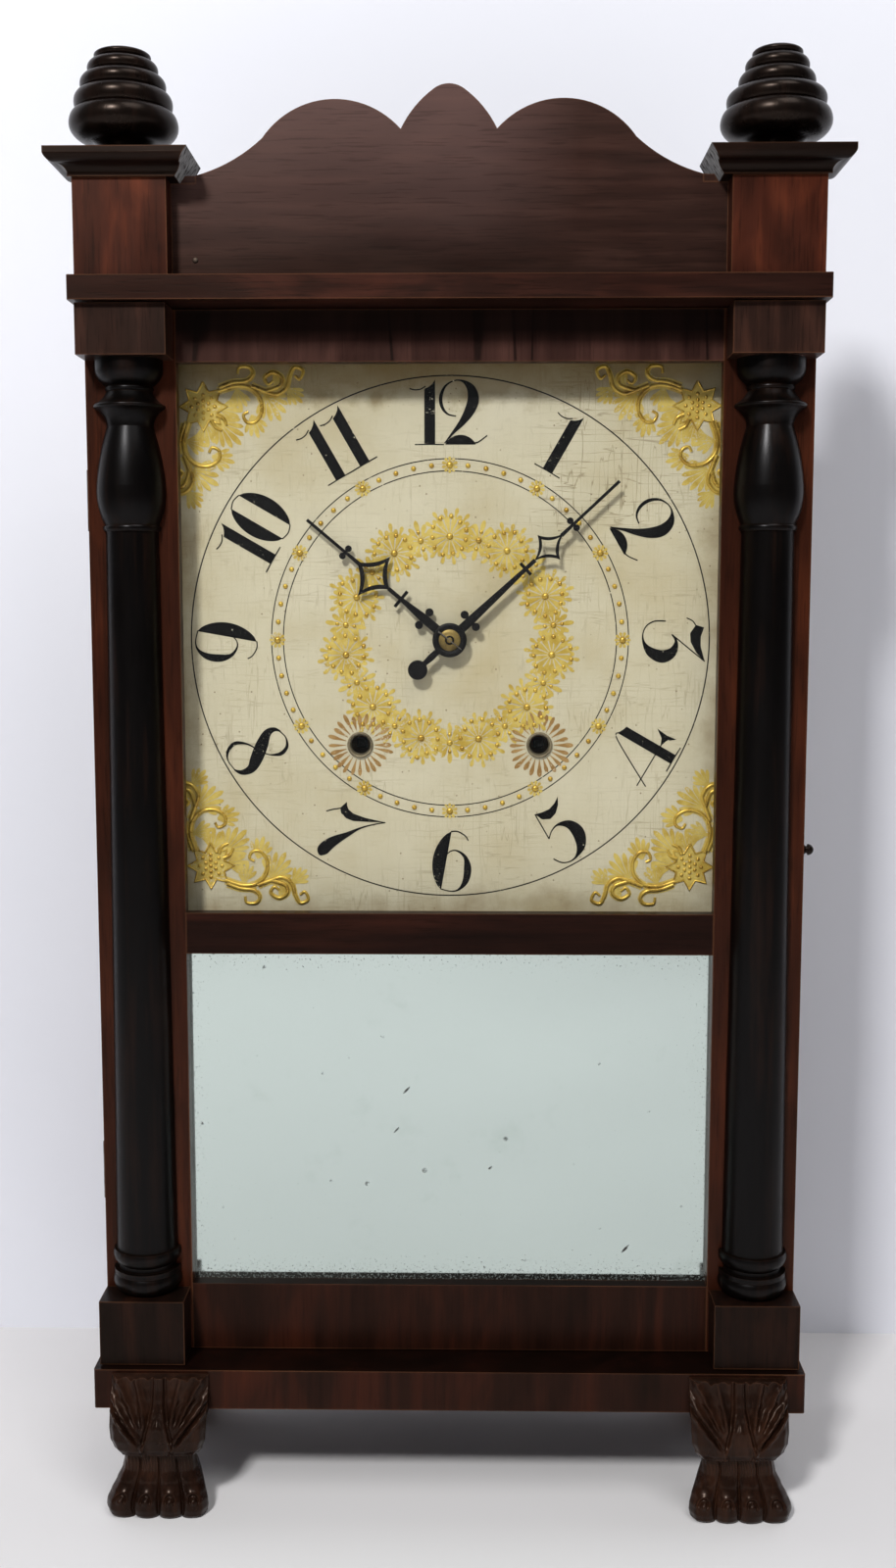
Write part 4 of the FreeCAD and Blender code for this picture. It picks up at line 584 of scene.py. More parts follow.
@dataclass(frozen=True)
class DialPaint:
    """Ivory paint on a board, crazed along and across the grain."""

    name: str = "painted_dial_board"
    pale: Colour = (206, 199, 172)
    ivory: Colour = (197, 189, 159)
    stain: Colour = (186, 174, 138)
    crack: Colour = (128, 112, 80)
    speck: Colour = (104, 84, 56)
    # Colour of the band along the edges of the dial's window, partly soiling and partly painted shade of the
    # door frame.
    dirt: Colour = (124, 96, 50)
    # Colour of the painted shade in the band at the top, under the top rail.
    soot: Colour = (118, 94, 36)
    middle: Flat = (0.0, 0.5203)
    half: Flat = (0.166, 0.1666)
    # Heights of the band of painted shade at the top, under the top rail.
    smoke: Flat = (0.666, 0.677)
    crazed: tuple[float, float, float] = (0.098, -0.005, 0.632)

    def crazing(self, bench: NodeBench) -> Socket:
        """Draw the fine cracks, which are most round one place and in patches.

        Args:
            bench: Lays out the nodes.

        Returns:
            The share of cracks.
        """
        ways = (((0.07, 1.0, 1.0), 0.0), ((1.0, 1.0, 0.07), 5.3))
        lines = [bench.span(bench.crease(bench.noise(bench.stretched(*way), 210.0, 2.0)), 0.016, 0.0)
                 for way in ways]
        patches = bench.span(bench.noise(bench.place, 21.0, 2.0), 0.45, 0.68)
        far = bench.sums(Sum.DISTANCE, bench.place, self.crazed, "ShaderNodeVectorMath")
        share = bench.plus(bench.span(patches, 0.0, 1.0, 0.1, 0.42), bench.span(far, 0.058, 0.03, 0.0, 0.5))
        return bench.times(bench.most(*lines), share)

    def make(self) -> bpy.types.Material:
        """Build the paint from clouds, fine crazing, specks, a band along the window's edges that is partly
        soiling and partly painted shade, and painted shade at the top.

        Returns:
            The material.
        """
        bench = NodeBench(self.name)
        cloud = bench.noise(bench.place, 13.0, 5.0, 0.6)
        colour = bench.ramp(cloud, ((0.3, self.stain), (0.5, self.ivory), (0.75, self.pale)))
        crazing = self.crazing(bench)
        colour = bench.cover(crazing, colour, self.crack)
        few = bench.span(bench.noise(bench.place, 75.0, 2.0), 0.47, 0.56)
        specks = bench.times(bench.span(bench.cells(bench.place, 180.0), 0.11, 0.06), few)
        colour = bench.cover(bench.times(specks, 0.8), colour, self.speck)
        inner = bench.inside(self.middle, self.half)
        beyond = bench.span(inner, -0.016, -0.006, 0.3, 1.0)
        ragged = bench.swing(bench.noise(bench.place, 36.0, 5.0, 0.65), 0.05)
        # Darker towards the edges of the dial's window: partly soiling, partly painted shade of the door
        # frame.
        soiled = bench.span(bench.plus(inner, ragged), 0.017, -0.006, 0.0, 0.62)
        # Painted shade in a band at the top of the dial, under the top rail, darker upwards.
        top_shade = bench.span(bench.plus(bench.coordinate("Z"), ragged), *self.smoke, 0.0, 0.6)
        for share, tone in ((soiled, self.dirt), (top_shade, self.soot)):
            colour = bench.cover(bench.times(share, beyond), colour, tone)
        height = bench.minus(bench.times(cloud, 0.3), crazing)
        return bench.finish(Base_Color=colour, Roughness=bench.span(cloud, 0.3, 0.7, 0.36, 0.55),
                            Normal=bench.relief(height, 0.00012), Specular_IOR_Level=0.3)


@dataclass(frozen=True)
class BrushPaint:
    """Paint or leaf laid on the dial, worn through in flecks."""

    name: str
    colour: Colour
    under: Colour
    loss: float
    metallic: float = 0.0
    rough: float = 0.5
    second: Colour | None = None
    lustre: float = 0.3

    def make(self) -> bpy.types.Material:
        """Build the paint from two tones and flecks where the ground shows.

        Returns:
            The material.
        """
        bench = NodeBench(self.name)
        cloud = bench.noise(bench.place, 120.0, 4.0, 0.6)
        colour = bench.ramp(cloud, ((0.35, self.second or self.colour), (0.62, self.colour)))
        flecks = bench.noise(bench.place, 820.0, 4.0, 0.68)
        patch = bench.noise(bench.place, 95.0, 2.0)
        bare = bench.plus(flecks, bench.swing(patch, 0.5))
        bare = bench.span(bare, 0.79 - self.loss, 0.81 - self.loss)
        chips = bench.span(bench.cells(bench.place, 230.0), 0.12, 0.09)
        bare = bench.most(bare, bench.times(chips, bench.span(patch, 0.5, 0.54)))
        colour = bench.cover(bare, colour, self.under)
        return bench.finish(Base_Color=colour, Metallic=bench.span(bare, 0.0, 1.0, self.metallic, 0.0),
                            Roughness=bench.span(cloud, 0.3, 0.7, self.rough - 0.08, self.rough + 0.12),
                            Normal=bench.relief(cloud, 0.0001), Specular_IOR_Level=self.lustre)


@dataclass(frozen=True)
class OldMirror:
    """Silvered glass that has lost its backing in specks and along its edges."""

    name: str
    middle: Flat
    half: Flat
    silver: Colour = (197, 209, 204)
    bloomed: Colour = (176, 190, 182)
    bare: Colour = (38, 34, 30)
    scratch_lean: float = 0.75
    damp_height: float = 0.021

    def scratches(self, bench: NodeBench) -> Socket:
        """Draw short scratches that lean one way.

        Args:
            bench: Lays out the nodes.

        Returns:
            The share of scratches.
        """
        turned = bench.add("ShaderNodeMapping", Vector=bench.place, Rotation=(0.0, self.scratch_lean, 0.0),
                           Scale=(1.0, 1.0, 4.0))
        turned.vector_type = "TEXTURE"
        return bench.span(bench.cells(turned.outputs["Vector"], 66.0), 0.07, 0.045)

    def make(self) -> bpy.types.Material:
        """Build the mirror from its silver, specks and dark edges.

        Returns:
            The material.
        """
        bench = NodeBench(self.name)
        nearest = bench.inside(self.middle, self.half)
        ragged = bench.noise(bench.place, 70.0, 5.0, 0.7)
        worn = bench.span(bench.plus(nearest, bench.swing(ragged, 0.008)), -0.0002, -0.0026, 0.0, 0.75)
        bloom = bench.span(bench.noise(bench.place, 26.0, 4.0, 0.65), 0.6, 0.74, 0.0, 0.28)
        bottom = self.middle[1] - self.half[1]
        damp = bench.span(bench.coordinate("Z"), bottom + self.damp_height, bottom, 0.0, 0.16)
        damp = bench.most(damp, bench.span(nearest, 0.022, 0.0, 0.0, 0.1))
        foxed = bench.plus(bench.noise(bench.place, 620.0, 4.0, 0.72), damp)
        fine = bench.span(foxed, 0.68, 0.72, 0.0, 0.6)
        large = bench.span(bench.cells(bench.place, 62.0), 0.12, 0.05)
        large = bench.times(large, bench.span(ragged, 0.54, 0.6))
        scratched = bench.times(self.scratches(bench), bench.span(ragged, 0.47, 0.5))
        lost = bench.most(bench.most(worn, fine), bench.most(large, scratched))
        colour = bench.cover(bloom, linear(self.silver), self.bloomed)
        colour = bench.cover(lost, colour, self.bare)
        waves = bench.noise(bench.place, 11.0, 1.0)
        return bench.finish(Base_Color=colour, Metallic=bench.span(lost, 0.0, 1.0, 1.0, 0.1),
                            Roughness=bench.span(bench.plus(lost, bloom), 0.0, 1.0, 0.09, 0.5),
                            Normal=bench.relief(waves, 0.0004, 0.4))


@dataclass(frozen=True)
class ClearGlass:
    """A thin pane of old window glass."""

    name: str = "old_window_glass"

    def make(self) -> bpy.types.Material:
        """Build the pane with slow waves and a little dust.

        Returns:
            The material.
        """
        bench = NodeBench(self.name)
        waves = bench.noise(bench.place, 14.0, 2.0)
        dust = bench.noise(bench.place, 400.0, 4.0, 0.7)
        return bench.finish(Base_Color=(0.3, 0.32, 0.31, 1.0), Specular_IOR_Level=0.5,
                            Alpha=bench.span(dust, 0.5, 0.8, 0.008, 0.03),
                            Roughness=bench.span(dust, 0.4, 0.8, 0.02, 0.1),
                            Normal=bench.relief(waves, 0.0005))


@dataclass(frozen=True)
class Fibre:
    """Spun cord with hairs and handling dirt."""

    name: str = "spun_cord"
    clean: Colour = (172, 150, 112)
    soiled: Colour = (104, 86, 60)

    def make(self) -> bpy.types.Material:
        """Build the cord from clouds of dirt and fine hairs.

        Returns:
            The material.
        """
        bench = NodeBench(self.name)
        dirt = bench.noise(bench.place, 60.0, 4.0)
        hairs = bench.noise(bench.stretched((1.0, 1.0, 0.3)), 2600.0, 2.0)
        mixed = bench.plus(bench.times(dirt, 0.6), bench.times(hairs, 0.4))
        colour = bench.ramp(mixed, ((0.38, self.soiled), (0.6, self.clean)))
        return bench.finish(Base_Color=colour, Roughness=0.85, Normal=bench.relief(hairs, 0.0002, 0.8),
                            Sheen_Weight=0.3)


class FinishShop:
    """Makes every finish once and hands it out by its name."""

    def __init__(self) -> None:
        """Make the finishes of the clock."""
        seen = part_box("base_blocks")[1]
        mirror_middle = (0.0, 0.23265)
        mirror_half = (seen.x - 0.0516, 0.10405)
        cap = ((9, 4, 3), (19, 10, 7), (38, 20, 14), Grain.ACROSS, 0.4)
        recipes = (
            Wood("dark_mahogany_across", (16, 7, 5), (38, 19, 14), (74, 39, 29), Grain.ACROSS, 0.58),
            # The bottom rail and the plinth: painted shade on their top faces.
            Wood("dark_mahogany_up", (17, 8, 5), (35, 17, 11), (62, 28, 17), Grain.UP, 0.55, shift=1.7,
                 pores=0.25, lustre=0.1, ledge=0.8),
            Wood("rail_mahogany", (12, 5, 4), (28, 13, 9), (48, 23, 16), Grain.ACROSS, 0.4, shift=6.4,
                 lustre=0.08),
            # The top rail: painted shade in a band under the cornice, and dark cracks in its veneer.
            Wood("top_veneer", (28, 14, 12), (58, 36, 31), (88, 58, 50), Grain.UP, 0.55, shift=3.3,
                 pores=0.25, soot=(0.6995, 0.707), splits=0.8),
            # The splat: a painted sheen towards its top and its left, partly bloom of the old polish.
            Wood("splat_mahogany", (22, 11, 8), (42, 25, 20), (66, 43, 36), Grain.ACROSS, 0.45, shift=4.2,
                 pores=0.28, bloom=(0.755, 0.845)),
            Wood("stile_mahogany", (26, 10, 5), (49, 21, 11), (76, 35, 19), Grain.UP, 0.45, shift=0.6),
            Wood("flame_veneer", (30, 12, 7), (62, 28, 18), (104, 50, 30), Grain.UP, 0.66, shift=2.3,
                 pores=0.35),
            Wood("block_mahogany", (10, 6, 4), (20, 11, 8), (42, 22, 14), Grain.UP, 0.55, shift=5.5,
                 lustre=0.1),
            Wood("capital_veneer", (17, 10, 8), (40, 25, 20), (80, 49, 38), Grain.UP, 0.6, shift=8.2),
            Wood("left_cap_wood", *cap, sawn_end=1.0),
            Wood("right_cap_wood", *cap, shift=2.9, sawn_end=-1.0),
            Wood("ebonised_wood", (3, 2, 2), (6, 4, 3), (30, 16, 9), Grain.UP, 0.3, 0.31,
                 (60, 42, 32), 0.2, 0.02, 0.115, glow=(0.95, 0.93, 0.95, 1.0)),
            Wood("turned_walnut", (7, 4, 3), (14, 9, 7), (30, 19, 14), Grain.UP, 0.35, 0.27,
                 (66, 44, 34), 0.22, 0.02, 0.15),
            # The carved feet: painted shade in their hollows.
            Wood("carved_walnut", (12, 6, 4), (31, 17, 11), (56, 33, 22), Grain.UP, 0.4, 0.27,
                 (84, 52, 35), 0.45, 0.03, 0.16, hollow=0.75),
            Wood("old_pine", (86, 58, 34), (120, 88, 55), (150, 118, 80), Grain.UP, 0.45, 0.7,
                 (160, 132, 96), 0.5, 0.0, 0.25),
            Wood("case_side", (24, 10, 6), (48, 23, 14), (76, 40, 25), Grain.UP, 0.45, shift=7.1),
            Wood("plate_oak", (110, 76, 44), (150, 110, 68), (182, 144, 98), Grain.ACROSS, 0.3, 0.6,
                 (196, 162, 118), 0.5, 0.0, 0.25),
            Wood("wheel_cherry", (112, 58, 32), (150, 88, 52), (182, 120, 78), Grain.ACROSS, 0.35, 0.5,
                 (196, 140, 98), 0.5, 0.05, 0.3),
            DialPaint(),
            BrushPaint("numeral_black", (7, 6, 6), (190, 182, 156), 0.075, lustre=0.1),
            BrushPaint("line_black", (28, 25, 22), (196, 188, 160), 0.1, lustre=0.15),
            BrushPaint("gilt_leaf", (206, 183, 94), (198, 189, 158), 0.15, 0.08, 0.42, (182, 153, 62)),
            BrushPaint("gilt_relief", (208, 176, 76), (150, 116, 48), 0.1, 0.5, 0.28, (176, 140, 54)),
            BrushPaint("key_leaf", (142, 106, 54), (196, 184, 152), 0.18, 0.06, 0.5, (168, 135, 82)),
            OldMirror("old_mirror", mirror_middle, mirror_half),
            ClearGlass(),
            Fibre(),
            Metal("old_brass", (186, 142, 66), (112, 82, 38)),
            Metal("dull_brass", (142, 120, 64), (92, 76, 38), 0.6, 0.45),
            Metal("black_iron", (13, 11, 12), (7, 6, 6), 0.0, 0.4, lustre=0.16),
            Metal("cast_iron", (62, 58, 56), (74, 52, 40), 0.6, 0.6, 160.0, 0.0006),
            Metal("drawn_wire", (120, 116, 110), (82, 70, 60), 0.9, 0.4),
            Metal("eyelet_bronze", (150, 138, 108), (88, 78, 60), 0.5, 0.4),
        )
        self.materials: dict[str, bpy.types.Material] = {recipe.name: recipe.make() for recipe in recipes}

    def dress(self, node: str, finish: str) -> None:
        """Lay a finish on one solid of the frame.

        Args:
            node: Name of the solid.
            finish: Name of the finish.
        """
        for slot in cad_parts[node].material_slots:
            slot.material = self.materials[finish]
        LOG.info("dressed %s in %s", node, finish)


# Making meshes

class Bench:
    """Gathers points and faces into one piece."""

    def __init__(self, shop: FinishShop) -> None:
        """Start with an empty piece.

        Args:
            shop: Hands out the finishes.
        """
        self.shop = shop
        self.points: list[Vector] = []
        self.faces: list[tuple[int, ...]] = []

    def face(self, corners: Sequence[Vector]) -> None:
        """Add one flat face.

        Args:
            corners: Its corners in order.
        """
        start = len(self.points)
        self.points.extend(corners)
        self.faces.append(tuple(range(start, start + len(corners))))

    def grid(self, rows: Sequence[Sequence[Vector]], around_rows: bool = False) -> None:
        """Add a net of faces over rows of points.

        Args:
            rows: Rows of the same length.
            around_rows: Whether each row closes on itself.
        """
        start = len(self.points)
        width = len(rows[0])
        for row in rows:
            self.points.extend(row)
        for number in range(len(rows) - 1):
            low = start + number * width
            for column in range(width if around_rows else width - 1):
                after = (column + 1) % width
                self.faces.append((low + column, low + after, low + width + after, low + width + column))

    def tube(self, line: Sequence[Vector], radius: Callable[[float], float], sides: int = 8) -> None:
        """Add a round rod along a line.

        Args:
            line: Points of the line.
            radius: Gives the radius at a share of the length.
            sides: Sides of the rod.
        """
        rows: list[list[Vector]] = []
        side = Vector((0.0, 1.0, 0.0))
        last = len(line) - 1
        for number, point in enumerate(line):
            way = (line[min(last, number + 1)] - line[max(0, number - 1)]).normalized()
            if abs(way.dot(side)) > 0.9:
                side = Vector((1.0, 0.0, 0.0))
            over = way.cross(side).normalized()
            side = over.cross(way).normalized()
            reach = radius(number / max(1, last))
            rows.append([point + (side * math.cos(turn) + over * math.sin(turn)) * reach
                         for turn in turns(sides)])
        self.grid(rows, True)
        self.face(rows[0][::-1])
        self.face(rows[-1])

    def turned(self, middle: Vector, profile: Sequence[Flat], steps: int = 24, closed: bool = True,
               start: float = 0.0) -> None:
        """Add a form turned about a line that points to the front.

        Args:
            middle: Where the line meets the face that carries the form.
            profile: Radius and height to the front, from the outside in.
            steps: Flats round the form.
            closed: Whether its top is closed.
            start: Angle of its first flat's edge.
        """
        rows = [[middle + Vector((math.cos(turn) * reach, -height, math.sin(turn) * reach))
                 for turn in turns(steps, start)] for reach, height in profile]
        self.grid(rows, True)
        if closed:
            self.face(rows[-1])

    def make(self, name: str, finish: str, body: str, smooth: bool = True) -> bpy.types.Object:
        """Make the piece and let it ride on a body.

        Args:
            name: Name of the piece.
            finish: Name of its finish.
            body: The body that it moves with.
            smooth: Whether its shading is smooth.

        Returns:
            The new object.
        """
        mesh = bpy.data.meshes.new(name)
        mesh.from_pydata([tuple(point) for point in self.points], [], self.faces)
        mesh.validate()
        mesh.polygons.foreach_set("use_smooth", [smooth] * len(mesh.polygons))
        mesh.materials.append(self.shop.materials[finish])
        piece = stand(name, mesh)
        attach(piece, body)
        LOG.info("made %s with %d faces", name, len(mesh.polygons))
        return piece


# Dial

HAIR = 0.019


@dataclass(frozen=True)
class Pen:
    """A line of the pen. A point with no breadth of its own has a hair's."""

    points: Sequence[tuple[float, ...]]

    def paint(self, dial: "Dial", bench: Bench, place: Placer) -> None:
        """Paint the line as one part of a figure."""
        points = [point if len(point) > 2 else (*point, HAIR) for point in self.points]
        dial.stroke(bench, smooth_line(points), place, dial.numeral_height)


@dataclass(frozen=True)
class Fill:
    """A filled outline."""

    corners: Sequence[Flat]

    def paint(self, dial: "Dial", bench: Bench, place: Placer) -> None:
        """Paint the outline as one part of a figure."""
        dial.flat(bench, [place(x, y) for x, y in self.corners])


@dataclass(frozen=True)
class Lens:
    """A swelling between a bow and its straight chord."""

    start: Flat
    end: Flat
    rise: float
    steps: int = 18
    fullness: float = 0.72

    def paint(self, dial: "Dial", bench: Bench, place: Placer) -> None:
        """Paint the swelling as one part of a figure.

        Args:
            dial: The dial that it is painted on.
            bench: Takes the face.
            place: Puts a point of the figure on the dial.
        """
        run = (self.end[0] - self.start[0], self.end[1] - self.start[1])
        length = math.hypot(*run)
        left = (-run[1] / length, run[0] / length)
        outline: list[Flat] = []
        for rise, order in ((self.rise, range(self.steps)), (0.0, range(self.steps, 0, -1))):
            for share in (step / self.steps for step in order):
                bow = rise * (4 * share * (1 - share)) ** self.fullness
                outline.append(place(*moved(self.start, run, share, left, bow)))
        dial.flat(bench, outline)


CLOSER = {"10": 0.115, "11": 0.04, "12": 0.1}

DIGITS: dict[str, tuple[float, list[Pen | Fill | Lens]]] = {
    "0": (0.66, [
        Lens((0.21, 0.03), (0.21, 0.97), 0.21),
        Lens((0.45, 0.97), (0.45, 0.03), 0.21),
        Pen([(0.2, 0.965), (0.33, 1.0), (0.46, 0.965)]),
        Pen([(0.2, 0.035), (0.33, 0.0), (0.46, 0.035)])]),
    "1": (0.42, [
        Fill([(0.13, 0.0), (0.3, 0.0), (0.3, 1.0), (0.25, 0.93), (0.19, 0.885), (0.13, 0.86)]),
        Pen([(-0.1, 0.865), (-0.02, 0.845), (0.07, 0.855), (0.15, 0.9)]),
        Pen([(-0.02, 0.0), (0.2, 0.004), (0.44, 0.0)])]),
    "2": (0.68, [
        Pen([(0.25, 0.44), (0.12, 0.47, 0.03), (0.03, 0.58, 0.05), (0.01, 0.74, 0.055), (0.08, 0.9, 0.035),
             (0.22, 0.985), (0.36, 0.975, 0.04), (0.48, 0.87, 0.13), (0.52, 0.7, 0.18), (0.46, 0.52, 0.16),
             (0.34, 0.34, 0.1), (0.2, 0.18, 0.045), (0.07, 0.02)]),
        Lens((0.56, 0.0), (0.08, 0.0), -0.15),
        Pen([(0.5, 0.02, 0.03), (0.6, 0.04), (0.74, 0.14)])]),
    "3": (0.7, [
        Pen([(0.0, 0.7), (0.05, 0.8), (0.14, 0.86)]),
        Fill([(0.11, 0.85), (0.24, 0.76), (0.38, 0.77), (0.55, 0.86), (0.69, 1.0), (0.45, 0.93), (0.3, 0.93),
              (0.15, 0.98)]),
        Pen([(0.69, 1.0), (0.48, 0.74), (0.26, 0.47)]),
        Pen([(0.26, 0.47), (0.38, 0.54, 0.05), (0.54, 0.48, 0.15), (0.61, 0.32, 0.2), (0.54, 0.14, 0.15),
             (0.4, 0.03, 0.05), (0.25, 0.01), (0.12, 0.07), (0.05, 0.2), (0.05, 0.37)])]),
    "4": (0.8, [
        Fill([(0.46, 0.0), (0.62, 0.0), (0.62, 0.92), (0.56, 0.94), (0.5, 0.97), (0.46, 1.0)]),
        Pen([(0.32, 0.0), (0.54, 0.004), (0.76, 0.0)]),
        Pen([(0.47, 0.99), (0.36, 0.93), (-0.06, 0.16)]),
        Pen([(-0.12, 0.29), (0.3, 0.29), (0.64, 0.29)]),
        Fill([(0.62, 0.29), (0.74, 0.25), (0.84, 0.12), (0.82, 0.29), (0.84, 0.48), (0.74, 0.34)])]),
    "5": (0.62, [
        Fill([(0.1, 0.95), (0.16, 0.82), (0.28, 0.76), (0.4, 0.8), (0.5, 0.9), (0.56, 1.02), (0.46, 0.95),
              (0.34, 0.91), (0.22, 0.92)]),
        Pen([(0.1, 0.95), (0.1, 0.7), (0.1, 0.49)]),
        Pen([(0.1, 0.49), (0.2, 0.58), (0.34, 0.62, 0.04), (0.5, 0.53, 0.14), (0.56, 0.35, 0.2),
             (0.5, 0.15, 0.15), (0.36, 0.03, 0.05), (0.22, 0.0), (0.09, 0.05), (0.0, 0.17)])]),
    "6": (0.62, [
        Lens((0.17, 0.03), (0.34, 0.98), 0.22),
        Pen([(0.33, 0.98), (0.44, 0.98), (0.56, 0.91), (0.61, 0.83)]),
        Pen([(0.24, 0.58), (0.33, 0.66), (0.44, 0.66, 0.03), (0.56, 0.56, 0.06), (0.6, 0.38, 0.12),
             (0.57, 0.18, 0.1), (0.47, 0.04, 0.04), (0.34, 0.0), (0.16, 0.04)])]),
    "7": (0.9, [
        Fill([(0.27, 0.84), (0.32, 0.775), (0.435, 0.74), (0.56, 0.76), (0.76, 0.86), (1.02, 1.0),
              (0.86, 0.95), (0.7, 0.9), (0.5, 0.865), (0.4, 0.885), (0.345, 0.93), (0.315, 0.98)]),
        Pen([(0.1, 0.68), (0.18, 0.76), (0.28, 0.84)]),
        Pen([(1.02, 1.0), (0.86, 0.865, 0.02), (0.71, 0.71, 0.03), (0.59, 0.53, 0.075), (0.46, 0.34, 0.15),
             (0.39, 0.2, 0.19), (0.365, 0.1, 0.19), (0.365, 0.04, 0.13), (0.37, 0.0, 0.03)])]),
    "8": (0.62, [
        Pen([(0.22, 0.98, 0.02), (0.14, 0.9, 0.07), (0.14, 0.77, 0.13), (0.26, 0.6, 0.2), (0.4, 0.42, 0.2),
             (0.5, 0.26, 0.14), (0.48, 0.1, 0.08), (0.38, 0.01, 0.02)]),
        Pen([(0.2, 0.96), (0.34, 1.0), (0.48, 0.94, 0.05), (0.53, 0.8, 0.06), (0.46, 0.64), (0.36, 0.55)]),
        Pen([(0.28, 0.5), (0.12, 0.4, 0.03), (0.02, 0.24, 0.06), (0.07, 0.08, 0.05), (0.2, 0.0),
             (0.4, 0.02)])]),
}

PETAL: Table = ((0.0, 0.12), (0.35, 0.5), (0.7, 1.0), (0.9, 0.8), (1.0, 0.2))

EYELET: Table = ((0.0079, 0.0), (0.0079, 0.0011), (0.0075, 0.0017), (0.0069, 0.0017), (0.0063, 0.0011),
                 (0.0059, 0.0), (0.0058, -0.0055))

# Scrolls and leaf fans of one arm of a corner, in millimetres from its star
SCROLLS: tuple[Table, ...] = (
    ((10, -11), (18, -14), (26, -15), (30, -19), (28, -23), (22, -23), (21, -19)),
    ((9, -9), (19, -12), (28, -11), (34, -5), (35, 3), (31, 9), (26, 9), (24, 5), (27, 3)),
    ((29, -12), (37, -9), (44, -7), (50, -11), (52, -18), (55, -23), (60, -21), (58, -16), (55, -18)),
    ((38, -9), (46, -12), (47, -17), (42, -20), (37, -17), (39, -13), (42, -15)),
    ((8, 5), (12, 7), (14, 11)),
)

# Heart, lean, length of the middle leaf and leaves on each side of it
FANS: tuple[tuple[Flat, float, float, int], ...] = (
    ((37, -8), 1.05, 19.0, 3), ((50, -11), 0.75, 13.0, 2), ((9, 1), 0.1, 15.0, 2),
    ((29, 4), 1.3, 15.0, 2), ((20, -11), 1.35, 14.0, 2), ((43, -9), -1.3, 11.0, 1))


